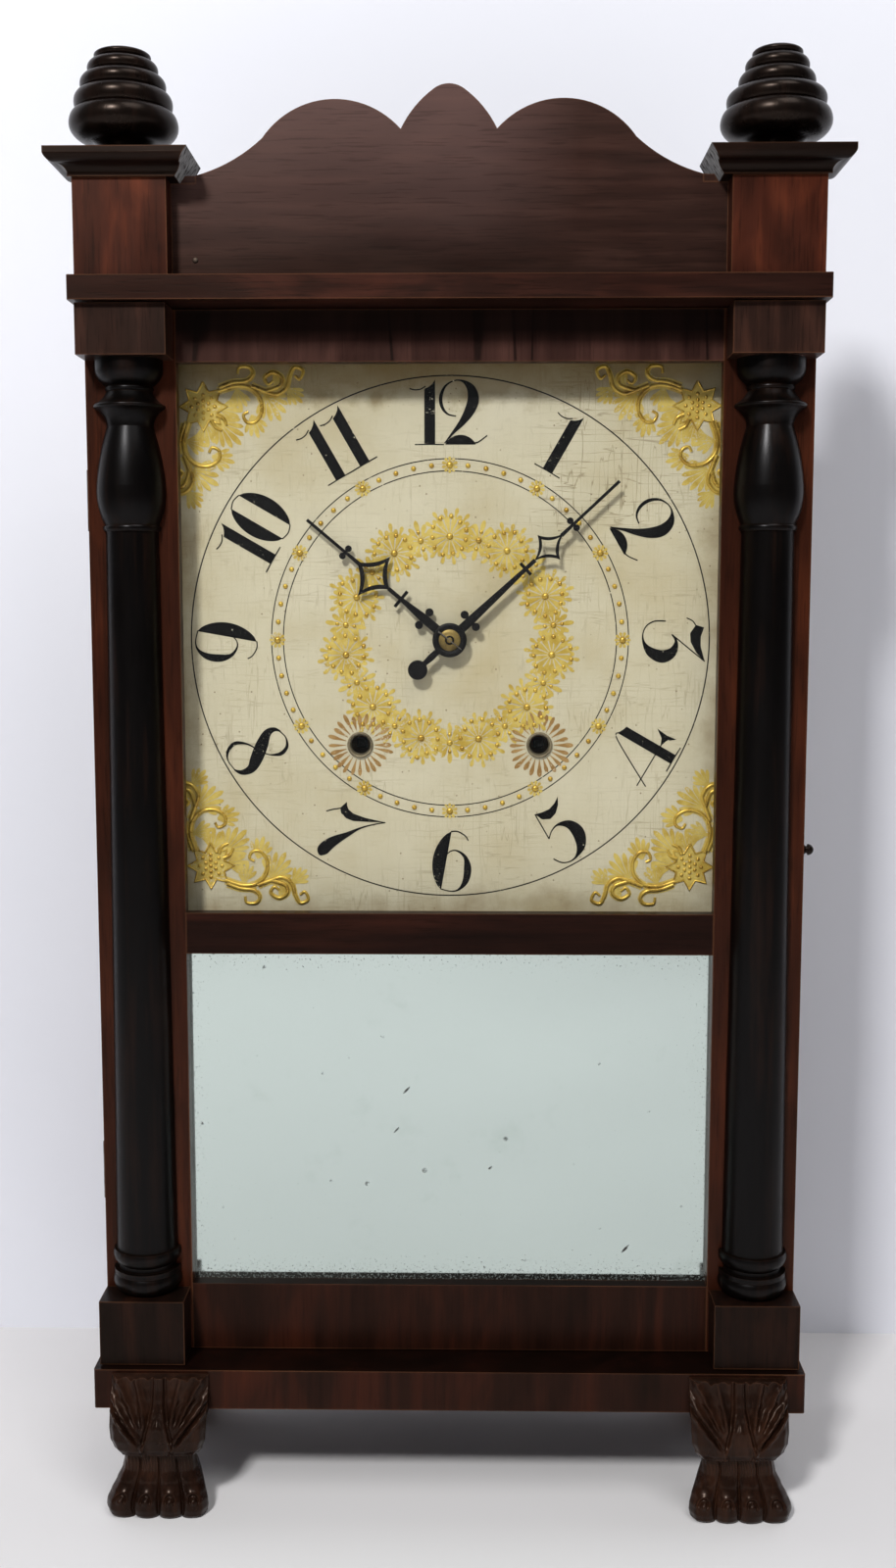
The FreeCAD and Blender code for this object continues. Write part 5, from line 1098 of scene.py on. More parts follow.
@dataclass
class Dial:
    """The painted board: numerals, minute ring, gilt work and winding eyelets."""

    shop: FinishShop
    circles: Table = ((0.157, 0.00078), (0.1082, 0.00064), (0.101, 0.00064))
    circle_steps: int = 180
    numeral_ring: float = 0.1355
    numeral_height: float = 0.038
    digit_gap: float = 0.06
    upright_hours: range = range(4, 9)
    dot_ring: float = 0.1046
    hour_bead: float = 0.0021
    minute_bead: float = 0.00155
    bead_rise: float = 0.75
    hour_star: Flat = (0.001, 0.0049)
    hour_star_breadth: float = 0.0019
    wreath_ring: float = 0.0628
    flower_reach: float = 0.0176
    flowers: int = 11
    flower_petals: int = 14
    petal_stem: Flat = (0.08, 0.74)
    petal_breadth: float = 0.19
    petal_fork: float = 0.56
    fork_leaves: Table = ((-0.8, 0.28), (0.0, 0.44), (0.8, 0.28))
    fork_start: float = 0.05
    fork_breadth: float = 0.14
    flower_beads: int = 11
    flower_bead: float = 0.00135
    spray_petals: int = 12
    spray_reaches: Flat = (0.0125, 0.0102)
    spray_breadth: float = 0.003
    spray_bead: float = 0.0018
    spray_beads_off: float = 0.0052
    key_petals: int = 24
    key_reach: Flat = (0.0088, 0.0198)
    key_lift: float = 0.00003
    star_place: Flat = (0.1475, 0.139)
    star_tips: Flat = (0.01443, 0.00897)
    star_beads: tuple[tuple[float, int], ...] = ((0.0, 1), (3.6, 6), (7.0, 8))
    star_line: float = 0.0008
    scroll_radius: float = 0.0014
    scroll_taper: float = 0.4
    ground_breadth: float = 5.2
    ground_taper: float = 0.75
    fan_lean: float = 0.3
    fan_shortening: float = 0.1
    fan_breadths: Flat = (0.0007, 0.15)
    leaf_limit: float = 0.1655
    leaf_start: float = 0.0008
    small_bead: float = 0.0012
    paint: float = 0.00006
    layer: float = 0.0000015
    layers: int = 139
    laid: int = 0
    front: float = field(init=False)

    def __post_init__(self) -> None:
        """Find the face of the board."""
        self.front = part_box("dial")[0].y

    def at(self, x: float, z: float, lift: float = 0.0) -> Vector:
        """Give a place on the board, from its middle and lifted off its face."""
        return Vector((DIAL_MIDDLE[0] + x, self.front - self.paint - lift, DIAL_MIDDLE[1] + z))

    def flat(self, bench: Bench, outline: Sequence[Flat], lift: float = 0.0) -> None:
        """Paint one outline, turned to face the front, a hair over the last one.

        Args:
            bench: Takes the face.
            outline: Corners from the dial's middle.
            lift: How far the paint stands off the board.
        """
        area = sum(a[0] * b[1] - b[0] * a[1] for a, b in zip(outline, [*outline[1:], outline[0]]))
        ordered = outline if area > 0 else outline[::-1]
        self.laid = (self.laid + 1) % self.layers
        lift += self.laid * self.layer
        bench.face([self.at(x, z, lift) for x, z in ordered])

    def stroke(self, bench: Bench, line: Sequence[tuple[float, ...]], place: Placer, scale: float) -> None:
        """Paint a stroke whose breadth changes along its line.

        Args:
            bench: Takes the faces.
            line: Points of the line, each with a breadth.
            place: Puts a point of the line on the dial.
            scale: Size of one unit of the line.
        """
        edges: list[list[Flat]] = []
        last = len(line) - 1
        for number, point in enumerate(line):
            before = place(*line[max(0, number - 1)][:2])
            after = place(*line[min(last, number + 1)][:2])
            run = math.hypot(after[0] - before[0], after[1] - before[1]) or 1.0
            across = (-(after[1] - before[1]) / run, (after[0] - before[0]) / run)
            half = point[2] * scale / 2
            x, z = place(point[0], point[1])
            edges.append([(x + across[0] * off, z + across[1] * off) for off in (half, -half)])
        for (a, b), (c, d) in zip(edges, edges[1:]):
            self.flat(bench, [a, b, d, c])

    def numerals(self) -> None:
        """Paint the twelve numerals, the lower five turned to be read upright."""
        bench = Bench(self.shop)
        for hour in range(1, 13):
            turn = hour * TURN / 12
            up = around(turn, -1.0 if hour in self.upright_hours else 1.0)
            digits = str(hour)
            widths = [DIGITS["6" if digit == "9" else digit][0] + self.digit_gap for digit in digits]
            widths[0] -= CLOSER.get(digits, 0.0)
            start = self.digit_gap / 2 - sum(widths) / 2
            for digit, width in zip(digits, widths):
                self.digit(bench, digit, start, up, turn)
                start += width
        piece = bench.make("painted_numerals", "numeral_black", "case", False)

    def digit(self, bench: Bench, digit: str, start: float, up: Flat, turn: float) -> None:
        """Paint one figure of a numeral. A nine is a six turned over.

        Args:
            bench: Takes the faces.
            digit: The figure.
            start: Left side of the figure, in numeral heights from the numeral's middle.
            up: The figure's upward way on the dial.
            turn: Angle of the numeral round the dial.
        """
        width, parts = DIGITS["6" if digit == "9" else digit]
        tall = self.numeral_height
        ring = around(turn, self.numeral_ring)
        right = (up[1], -up[0])

        def place(x: float, y: float) -> Flat:
            """Put a point of the figure on the dial."""
            if digit == "9":
                x, y = width - x, 1.0 - y
            return moved(ring, right, (start + x) * tall, up, (y - 0.5) * tall)

        for part in parts:
            part.paint(self, bench, place)

    def rings(self) -> None:
        """Paint the outer circle and the two circles of the minute ring."""
        bench = Bench(self.shop)
        for reach, breadth in self.circles:
            bench.grid([[self.at(*around(-turn, far)) for turn in turns(self.circle_steps)]
                        for far in (reach + breadth / 2, reach - breadth / 2)], True)
        piece = bench.make("painted_circles", "line_black", "case", False)

    def petal(self, bench: Bench, middle: Flat, turn: float, reach: Flat, breadth: float,
              lift: float = 0.0) -> None:
        """Lay one petal of leaf that points away from a middle.

        Args:
            bench: Takes the face.
            middle: The flower's middle.
            turn: The petal's angle.
            reach: Where it starts and ends.
            breadth: Its greatest breadth.
            lift: How far it stands off the board.
        """
        way = around(turn, 1.0)
        side = (way[1], -way[0])
        outline: list[Flat] = []
        for half, stations in ((breadth / 2, PETAL), (-breadth / 2, PETAL[::-1])):
            for share, wide in stations:
                out = reach[0] + (reach[1] - reach[0]) * share
                outline.append(moved(middle, way, out, side, half * wide))
        self.flat(bench, outline, lift)

    def bead(self, bench: Bench, place: Flat, reach: float) -> None:
        """Raise one round bead of gesso.

        Args:
            bench: Takes the faces.
            place: Its middle, from the dial's middle.
            reach: Its radius.
        """
        tall = reach * self.bead_rise
        profile = [(reach * math.cos(rise), tall * math.sin(rise)) for rise in turns(20)[:5]]
        bench.turned(self.at(*place), [*profile, (reach * 0.08, tall)], 12)

    def minute_beads(self, leaf: Bench, relief: Bench) -> None:
        """Set a bead at each minute, and a star under each fifth.

        Args:
            leaf: Takes the stars.
            relief: Takes the beads.
        """
        for minute, turn in enumerate(turns(60)):
            place = around(turn, self.dot_ring)
            if minute % 5:
                self.bead(relief, place, self.minute_bead)
                continue
            self.bead(relief, place, self.hour_bead)
            for ray in turns(10, turn):
                self.petal(leaf, place, ray, self.hour_star, self.hour_star_breadth)

    def flower(self, leaf: Bench, relief: Bench, middle: Flat, chance: random.Random) -> None:
        """Lay one flower of the wreath: forked petals round a ring of beads.

        Args:
            leaf: Takes the petals.
            relief: Takes the beads.
            middle: The flower's middle.
            chance: Gives the small differences of hand work.
        """
        reach = self.flower_reach
        start = chance.uniform(0.0, math.pi)
        for turn in turns(self.flower_petals, start):
            long = reach * chance.uniform(0.92, 1.03)
            stem = (reach * self.petal_stem[0], long * self.petal_stem[1])
            self.petal(leaf, middle, turn, stem, reach * self.petal_breadth)
            fork = around(turn, long * self.petal_fork, middle)
            for lean, far in self.fork_leaves:
                span = (reach * self.fork_start, long * far)
                self.petal(leaf, fork, turn + lean, span, reach * self.fork_breadth)
        self.bead(relief, middle, self.hour_bead)
        for turn in turns(self.flower_beads, start + math.pi / self.flower_beads):
            far = reach * chance.uniform(0.56, 0.7)
            self.bead(relief, around(turn, far, middle), self.flower_bead)

    def wreath(self, leaf: Bench, relief: Bench) -> None:
        """Lay the wreath of flowers round the hands, with a small spray between each two.

        Args:
            leaf: Takes the petals.
            relief: Takes the beads.
        """
        chance = random.Random(18)
        for turn in turns(self.flowers):
            ring = self.wreath_ring * chance.uniform(0.985, 1.015)
            self.flower(leaf, relief, around(turn, ring), chance)
            half = turn + math.pi / self.flowers
            between = around(half, ring)
            for number, ray in enumerate(turns(self.spray_petals, half)):
                far = self.spray_reaches[min(1, number % 3)]
                self.petal(leaf, between, ray, (self.leaf_start, far), self.spray_breadth)
            self.bead(relief, between, self.spray_bead)
            for away in (-self.spray_beads_off, self.spray_beads_off):
                self.bead(relief, around(half, ring + away), self.small_bead)

    def key_flowers(self) -> None:
        """Lay a ring of copper petals and a metal eyelet at each winding hole."""
        leaf = Bench(self.shop)
        metal = Bench(self.shop)
        chance = random.Random(7)
        for side in (-1.0, 1.0):
            middle = (KEY_HOLES[0] * side, KEY_HOLES[1] - DIAL_MIDDLE[1])
            for turn in turns(self.key_petals):
                lean = turn + chance.uniform(-0.04, 0.04)
                far = self.key_reach[1] + chance.uniform(-0.0022, 0.0014)
                breadth = chance.uniform(0.0021, 0.0031)
                self.petal(leaf, middle, lean, (self.key_reach[0], far), breadth, self.key_lift)
            metal.turned(self.at(*middle), EYELET, 40, False)
        piece = leaf.make("winding_hole_petals", "key_leaf", "case", False)
        rim = metal.make("winding_eyelets", "eyelet_bronze", "case")

    def corner(self, leaf: Bench, relief: Bench, sides: Flat) -> None:
        """Lay one corner: a star of beads with scrolls and leaf fans along both edges.

        Args:
            leaf: Takes the flat leaf.
            relief: Takes the raised lines and beads.
            sides: Which corner, as the signs of its x and z.
        """
        star = self.star_place

        def place(along: float, up: float, swap: bool = False) -> Flat:
            """Put a point of one arm on the dial, in millimetres from the star."""
            a, b = (up, along) if swap else (along, up)
            return sides[0] * min(star[0] - a * MM, self.leaf_limit), sides[1] * (star[1] - b * MM)

        middle = place(0.0, 0.0)
        tips = [around(k * math.pi / 8, self.star_tips[k % 2], middle) for k in range(17)]
        relief.tube([self.at(*tip) for tip in tips], lambda share: self.star_line, 6)
        self.flat(leaf, tips[:-1])
        for ring, count in self.star_beads:
            for turn in turns(count):
                self.bead(relief, around(turn, ring * MM, middle), self.small_bead)
        for swap in (False, True):
            for scroll in SCROLLS:
                line = smooth_line(scroll, 7)
                run = [self.at(*place(a, b, swap)) for a, b in line]
                relief.tube(run, lambda share: self.scroll_radius * (1.0 - self.scroll_taper * share), 8)
                ground = [(a, b, self.ground_breadth * (1.0 - self.ground_taper * k / len(line)))
                          for k, (a, b) in enumerate(line)]
                self.stroke(leaf, ground, lambda a, b: place(a, b, swap), MM)
            for (a, b), lean, long, half in FANS:
                towards = place(a + math.cos(lean), b + math.sin(lean), swap)
                self.fan(leaf, place(a, b, swap), towards, long, half)
        self.fan(leaf, place(9.0, 9.0), place(10.0, 10.0), 19.0, 4)

    def fan(self, leaf: Bench, heart: Flat, towards: Flat, long: float, half: int) -> None:
        """Lay a fan of narrow leaves.

        Args:
            leaf: Takes the leaves.
            heart: Where they start.
            towards: A point that the middle leaf runs to.
            long: Length of the middle leaf in millimetres.
            half: Leaves on each side of it.
        """
        middle = math.atan2(towards[0] - heart[0], towards[1] - heart[1])
        for ray in range(-half, half + 1):
            far = long * MM * (1.0 - self.fan_shortening * abs(ray))
            breadth = self.fan_breadths[0] + self.fan_breadths[1] * far
            self.petal(leaf, heart, middle + ray * self.fan_lean, (self.leaf_start, far), breadth)

    def build(self) -> None:
        """Make every layer of the dial's decoration."""
        self.rings()
        self.numerals()
        leaf = Bench(self.shop)
        relief = Bench(self.shop)
        self.minute_beads(leaf, relief)
        self.wreath(leaf, relief)
        for across in (-1.0, 1.0):
            for over in (-1.0, 1.0):
                self.corner(leaf, relief, (across, over))
        flat = leaf.make("gilt_leaf_work", "gilt_leaf", "case", False)
        raised = relief.make("raised_gilt_work", "gilt_relief", "case")
        self.key_flowers()
        self.shop.dress("dial", "painted_dial_board")


# Hands

@dataclass
class HandBoss:
    """The brass collet and taper pin that hold the hands."""

    shop: FinishShop
    collar: Table = ((0.0103, -0.0006), (0.0103, 0.0008), (0.0096, 0.0013), (0.0078, 0.0013),
                     (0.0068, 0.0006), (0.0064, 0.0003))
    washer: Table = ((0.0028, 0.0008), (0.0028, 0.0013), (0.0024, 0.0015), (0.0018, 0.0012),
                     (0.0009, 0.0012))
    collet: Table = ((0.0066, 0.0002), (0.0065, 0.0006), (0.0061, 0.0009), (0.004, 0.001), (0.0017, 0.0011),
                     (0.0016, 0.0019), (0.0013, 0.0021), (0.0008, 0.0021))
    pin_lean: float = 128.0
    pin_length: float = 0.0175
    pin_tail: float = 0.0085
    pin_lift: float = 0.0018
    pin_radius: float = 0.00055
    pin_taper: float = 0.0003
    pin_steps: int = 6

    def build(self) -> None:
        """Make the dark collar, the brass collet and the pin."""
        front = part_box("minute_hand")[0].y
        heart = Vector((DIAL_MIDDLE[0], front, DIAL_MIDDLE[1]))
        collar = Bench(self.shop)
        collar.turned(heart, self.collar, 40)
        collar.turned(heart, self.washer, 24)
        ring = collar.make("hand_collar", "black_iron", "minute")
        collet = Bench(self.shop)
        collet.turned(heart, self.collet, 32)
        disc = collet.make("hand_collet", "dull_brass", "minute")
        lean = math.radians(self.pin_lean)
        way = Vector((math.sin(lean), 0.0, math.cos(lean)))
        start = heart + Vector((0.0, -self.pin_lift, 0.0)) - way * self.pin_tail
        line = [start + way * self.pin_length * (k / self.pin_steps) for k in range(self.pin_steps + 1)]
        pin = Bench(self.shop)
        pin.tube(line, lambda share: self.pin_radius - self.pin_taper * share, 8)
        taper = pin.make("hand_pin", "drawn_wire", "minute")
        for hand in ("hour_hand", "minute_hand"):
            self.shop.dress(hand, "black_iron")


@dataclass
class WindingSquares:
    """The iron squares at the ends of the drums, which the key fits."""

    shop: FinishShop
    half_diagonal: float = 0.0039
    long: float = 0.012
    bevel: float = 0.0007

    def build(self) -> None:
        """Sleeve the square of each drum in iron."""
        profile = ((self.half_diagonal, -self.long), (self.half_diagonal, 0.0),
                   (self.half_diagonal - self.bevel, self.bevel))
        for word, side in (("time", 1.0), ("strike", -1.0)):
            node = word + "_drum"
            end = Vector((side * KEY_HOLES[0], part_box(node)[0].y, KEY_HOLES[1]))
            bench = Bench(self.shop)
            bench.turned(end, profile, 4, start=math.pi / 4)
            piece = bench.make(word + "_winding_square", "black_iron", node, False)


# Finials

FINIAL_RINGS: dict[str, tuple[float, ...]] = {
    "left_finial": (30.8, 27.8, 24.2, 19.9, 16.0),
    "right_finial": (31.4, 28.1, 21.6, 18.0, 14.2),
}


@dataclass
class BeehiveFinial:
    """A beehive finial with rings turned by hand, fuller than those of its solid."""

    shop: FinishShop
    neck: Table = ((14.2, 0.0), (13.7, 3.0), (14.4, 6.4), (16.6, 8.3))
    seams: tuple[float, ...] = (8.8, 26.2, 37.1, 46.2, 54.0, 59.5)
    bellies: tuple[float, ...] = (18.5, 30.7, 40.5, 49.2, 56.4)
    bottom: float = 17.5
    crown: float = 3.0
    nip: float = 1.9
    steps: int = 9
    sides: int = 88

    def profile(self, reaches: Sequence[float]) -> list[list[Flat]]:
        """Give the finial's outline, ring by ring from its foot to its crown.

        Args:
            reaches: Radius of each ring at its belly, from the lowest up.

        Returns:
            Radii and heights of each ring in millimetres.
        """
        rings: list[list[Flat]] = []
        for number, (reach, belly) in enumerate(zip(reaches, self.bellies)):
            under = reach - self.nip if number else self.bottom
            last = number == len(reaches) - 1
            over = self.crown if last else reaches[number + 1] - self.nip
            ring = [] if number else list(self.neck)
            for step in range(-self.steps, self.steps + 1):
                turn = math.pi / 2 * step / self.steps
                seam, inner = (self.seams[number], under) if step < 0 else (self.seams[number + 1], over)
                rise = abs(seam - belly) * math.sin(turn)
                ring.append((inner + (reach - inner) * math.cos(turn), belly + rise))
            rings.append(ring)
        return rings

    def build(self, node: str, reaches: Sequence[float]) -> None:
        """Turn one finial in the place of its solid.

        Args:
            node: Name of the solid.
            reaches: Radius of each ring, from the lowest up.
        """
        low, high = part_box(node)
        middle = Vector(((low.x + high.x) / 2, (low.y + high.y) / 2, low.z))
        scale = (high.z - low.z) / self.seams[-1]
        bench = Bench(self.shop)
        nets: list[list[list[Vector]]] = []
        for ring in self.profile(reaches):
            nets.append([[middle + Vector((math.cos(turn) * reach, math.sin(turn) * reach, height)) * scale
                          for turn in turns(self.sides)] for reach, height in ring])
            bench.grid(nets[-1], True)
        bench.face(nets[0][0][::-1])
        bench.face(nets[-1][-1])
        piece = bench.make(node.replace("finial", "beehive"), "turned_walnut", "case")
        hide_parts(node)


# Feet

@dataclass
class CarvedFoot:
    """A paw foot under an acanthus leaf, carved over its solid and drawn in millimetres."""

    shop: FinishShop
    columns: int = 128
    rows: int = 168
    drawn_height: float = 84.0
    ledge: float = 38.4
    heel_inset: float = 10.0
    corner_round: Flat = (2.2, 2.4)
    corner_start: float = 0.88
    toes: int = 4
    toe_half: float = 7.2
    nail: float = 11.2
    nail_squash: float = 0.85
    nail_ridge: Ridge = (1.1, 0.0, 1.5)
    hood: float = 11.0
    hood_start: float = 8.8
    hood_squash: float = 0.8
    hood_groove: Ridge = (-1.3, 2.5, 0.7)
    hood_ridge: Ridge = (0.5, 4.0, 0.9)
    fur_height: float = 0.34
    fur_spacing: float = 1.9
    fur_rise: Flat = (22.0, 34.0)
    curl: Ridge = (1.9, -0.6, 1.3)
    curl_groove: Ridge = (-2.8, 2.0, 1.15)
    groove_rise: Flat = (44.0, 50.0)
    curl_lip: Ridge = (1.3, 4.6, 1.3)
    lip_rise: Flat = (46.0, 54.0)
    lobe: Ridge = (1.9, 5.5, 11.0)
    lobe_end: Flat = (62.0, 74.0)
    shield_bead: Ridge = (1.0, 0.0, 0.9)
    shield_groove: Ridge = (-1.4, 1.9, 1.1)
    shield_swell: Flat = (1.5, 0.5)
    fold: Ridge = (1.5, 0.0, 1.5)
    fold_rise: Flat = (53.0, 62.0)
    fold_groove: float = 1.1
    fold_spacing: float = 0.31
    widths: Table = ((0, 27.2), (2, 28.8), (6, 29.5), (10, 29.2), (15, 27.8), (21, 25.2), (28, 22.6),
                     (33, 21.8), (38.3, 21.8), (38.6, 23.6), (43, 26.6), (49, 28.6), (56, 29.1), (84, 29.3))
    setbacks: Table = ((0, 2.6), (2, 1.2), (6, 0.2), (10, 0.4), (15, 2.4), (21, 5.0), (28, 7.4),
                       (38.3, 8.6), (38.6, 5.6), (43, 3.6), (49, 2.6), (56, 3.2), (62, 5.6), (70, 9.0),
                       (78, 11.0), (84, 11.8))
    grooves: Table = ((0, 4.6), (8, 5.2), (16, 4.6), (26, 2.8), (38.3, 1.4))
    spread: Table = ((0, 2.4), (8, 2.8), (18, 1.4), (30, 0.3), (38, 0.0))
    leaf_edge: Table = ((40, 8.5), (46, 9.5), (51, 12.0), (56, 16.0), (61, 20.5), (66, 25.0), (72, 31.0),
                        (84, 40.0))
    shield_edge: Table = ((38, 11.0), (44, 8.0), (52, 5.6), (60, 3.6), (68, 2.2), (84, 1.9))
    folds: tuple[float, ...] = (0.3, 0.62, 0.9)
    notches: Table = ((6.5, 1.9), (17.0, 2.6), (24.0, 1.4))
    notch_breadth: float = 1.7
    notch_rise: Flat = (76.0, 84.0)
    least_depth: float = 0.001

    def paw(self, across: float, x: float, z: float) -> float:
        """Give the relief of the toes, nails and fur.

        Args:
            across: Place across the foot, from -1 to 1.
            x: The same in millimetres.
            z: Height in millimetres.

        Returns:
            Millimetres to the front.
        """
        toe = (across + 1.0) * self.toes / 2
        share = 2.0 * (toe - math.floor(min(self.toes - 0.001, toe))) - 1.0
        share = max(-1.0, min(1.0, share))
        relief = -follow(self.grooves, z) * (1.0 - math.sqrt(max(0.0, 1.0 - 0.985 * share * share)))
        lean = share * self.toe_half
        relief += ridge(math.hypot(lean, (z - self.nail) * self.nail_squash), *self.nail_ridge)
        hood = math.hypot(lean, (z - self.hood) * self.hood_squash)
        above = eased(self.hood_start, self.hood, z)
        relief += above * (ridge(hood, *self.hood_groove) + ridge(hood, *self.hood_ridge))
        tuft = TURN * x / self.fur_spacing + 1.3 * math.sin(z / 2.7) + 2.0 * math.sin(x / 5.0)
        return relief + self.fur_height * eased(*self.fur_rise, z) * math.sin(tuft)

    def leaf(self, x: float, z: float) -> float:
        """Give the relief of the leaf: its shield, folds, curled edge and the lobes beside it.

        Args:
            x: Millimetres from the foot's middle.
            z: Height in millimetres.

        Returns:
            Millimetres to the front.
        """
        edge = follow(self.leaf_edge, z)
        shield = follow(self.shield_edge, z)
        off = abs(x)
        relief = ridge(off - edge, *self.curl)
        relief += ridge(off - edge, *self.curl_groove) * eased(*self.groove_rise, z)
        relief += ridge(off - edge, *self.curl_lip) * eased(*self.lip_rise, z)
        if off >= edge:
            return relief + ridge(off - edge, *self.lobe) * (1.0 - eased(*self.lobe_end, z))
        relief += ridge(off - shield, *self.shield_bead)
        relief += ridge(off - shield, *self.shield_groove)
        if off < shield:
            relief += self.shield_swell[0] * (1.0 - (off / shield) ** 2) - self.shield_swell[1]
        share = (off - shield) / max(1.0, edge - shield)
        rise = eased(*self.fold_rise, z)
        for fold in self.folds:
            relief += rise * ridge((share - fold) * (edge - shield), *self.fold)
        return relief - self.fold_groove * rise * (0.5 - 0.5 * math.cos(TURN * share / self.fold_spacing))

    def rim(self, x: float) -> float:
        """Give how far the leaf's scalloped top falls short of the solid's."""
        return sum(ridge(abs(x), deep, place, self.notch_breadth) for place, deep in self.notches)

    def build(self, node: str) -> None:
        """Carve one foot in the place of its solid.

        Args:
            node: Name of the solid.
        """
        low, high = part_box(node)
        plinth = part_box("base_board")
        middle = (low.x + high.x) / 2
        outer = math.copysign(1.0, middle)
        top = high.z
        step = plinth[0].z
        ledge = self.ledge / self.drawn_height * top
        seams = {ledge, ledge + 0.0003, step, step + 0.0002}
        rows: list[list[Vector]] = []
        for height in sorted({top * k / self.rows for k in range(self.rows + 1)} | seams):
            z = height / top * self.drawn_height
            half = follow(self.widths, z)
            bracket = height > step
            back = plinth[0].y if bracket else high.y
            heel = half if bracket else half - self.heel_inset
            row = [Vector((middle - heel * MM, back, height))]
            for column in range(self.columns + 1):
                across = 2.0 * column / self.columns - 1.0
                x = across * half
                setback = follow(self.setbacks, z) + self.corner_round[0] * abs(across) ** 3
                setback += self.corner_round[1] * eased(self.corner_start, 1.0, abs(across))
                relief = self.paw(across, x, z) if height <= ledge else self.leaf(x, z)
                y = max(low.y, low.y + (setback - relief) * MM)
                x += outer * follow(self.spread, z) * max(0.0, across * outer) ** 2
                fall = self.rim(x) * eased(*self.notch_rise, z)
                row.append(Vector((middle + x * MM, min(y, back - self.least_depth), height - fall * MM)))
            row.append(Vector((middle + heel * MM, back, height)))
            rows.append(row)
        bench = Bench(self.shop)
        bench.grid(rows)
        bench.grid([[row[-1], row[0]] for row in rows])
        bench.face(rows[0][::-1])
        bench.face(rows[-1])
        piece = bench.make(node.replace("front_foot", "carved_foot"), "carved_walnut", "case")
        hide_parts(node)


# Cords

@dataclass
class WeightCords:
    """Three-strand cords from the drums over the pulleys to the weights."""

    shop: FinishShop
    radius: float = 0.001
    lay: float = 0.0075
    strand_off: float = 0.48
    strand_radius: float = 0.52
    plane: float = 0.0355
    least_fall: float = 0.039
    fall_route: Table = ((0.16, 0.703), (0.16, 0.691), (0.16, 0.226))
    lead_route: Table = ((0.06362, 0.45897), (0.13356, 0.69642), (0.13942, 0.71636), (0.16, 0.7134),
                         (0.16, 0.703))
    smoothness: int = 380

    def run(self, route: Table, side: float) -> list[Vector]:
        """Lay a smooth line along a route.

        Args:
            route: Control points, as distance from the middle and height.
            side: Minus one at the left, one at the right.

        Returns:
            Points along the middle of the cord.
        """
        curve = bpy.data.curves.new("cord_route", "CURVE")
        curve.dimensions = "3D"
        spline = curve.splines.new("NURBS")
        spline.points.add(len(route) - 1)
        for point, (across, height) in zip(spline.points, route):
            point.co = (side * across, self.plane, height, 1.0)
        spline.order_u = 3
        spline.use_endpoint_u = True
        spline.resolution_u = self.smoothness
        holder = bpy.data.objects.new("cord_route", curve)
        mesh = bpy.data.meshes.new_from_object(holder)
        line = [vertex.co.copy() for vertex in mesh.vertices]
        bpy.data.meshes.remove(mesh)
        bpy.data.objects.remove(holder)
        bpy.data.curves.remove(curve)
        return line

    def strands(self, bench: Bench, line: Sequence[Vector]) -> None:
        """Twist three strands round a line.

        Args:
            bench: Takes the strands.
            line: Points along the middle of the cord.
        """
        total = 0.0
        last = len(line) - 1
        side = Vector((0.0, 1.0, 0.0))
        places: list[tuple[Vector, Vector, float]] = []
        for number, point in enumerate(line):
            before = line[max(0, number - 1)]
            over = (line[min(last, number + 1)] - before).cross(side).normalized()
            total += (point - before).length
            places.append((point, over, total))
        for strand in range(3):
            run: list[Vector] = []
            for point, over, far in places:
                turn = TURN * (far / self.lay + strand / 3)
                off = (side * math.cos(turn) + over * math.sin(turn)) * self.radius * self.strand_off
                run.append(point + off)
            bench.tube(run, lambda share: self.radius * self.strand_radius, 6)

    def build(self) -> None:
        """Make the standing lead of each cord and the fall that its weight takes up."""
        lead = Bench(self.shop)
        for side, word in ((-1.0, "strike"), (1.0, "time")):
            fall = Bench(self.shop)
            self.strands(fall, self.run(self.fall_route, side))
            piece = fall.make(word + "_fall_strands", "spun_cord", "case")
            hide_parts(word + "_fall_cord")
            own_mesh(piece)
            self.strands(lead, self.run(self.lead_route, side))
        piece = lead.make("lead_strands", "spun_cord", "case")
        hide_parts("lead_cords")


# Case

PLAN: dict[str, tuple[str, ...]] = {
    "case_side": ("left_side_board", "right_side_board"),
    "dark_mahogany_across": ("cornice_board",),
    "rail_mahogany": ("middle_rail",),
    "top_veneer": ("top_rail",),
    "dark_mahogany_up": ("bottom_rail", "base_board"),
    "splat_mahogany": ("splat",),
    "stile_mahogany": ("left_stile", "right_stile"),
    "flame_veneer": ("left_chimney_block", "right_chimney_block"),
    "block_mahogany": ("base_blocks",),
    "capital_veneer": ("capital_blocks",),
    "left_cap_wood": ("left_cap",),
    "right_cap_wood": ("right_cap",),
    "ebonised_wood": ("left_column", "right_column"),
    "turned_walnut": ("door_knob",),
    "old_pine": ("back_board", "mirror_backboard", "rear_feet"),
    "plate_oak": ("front_plate", "back_plate"),
    "wheel_cherry": ("time_drum", "time_great_wheel", "minute_arbor", "third_wheel", "minute_wheel",
                     "hour_wheel", "strike_drum", "strike_great_wheel", "pin_wheel", "strike_fly",
                     "count_wheel", "time_pulley", "strike_pulley"),
    "old_brass": ("escape_wheel", "pendulum_bob"),
    "cast_iron": ("bell", "time_weight", "strike_weight"),
    "drawn_wire": ("verge", "pendulum_rod", "hammer", "bell_stand", "case_hinge_leaves",
                   "door_hinge_leaves"),
    "old_window_glass": ("upper_glass",),
    "old_mirror": ("mirror_glass",),
}


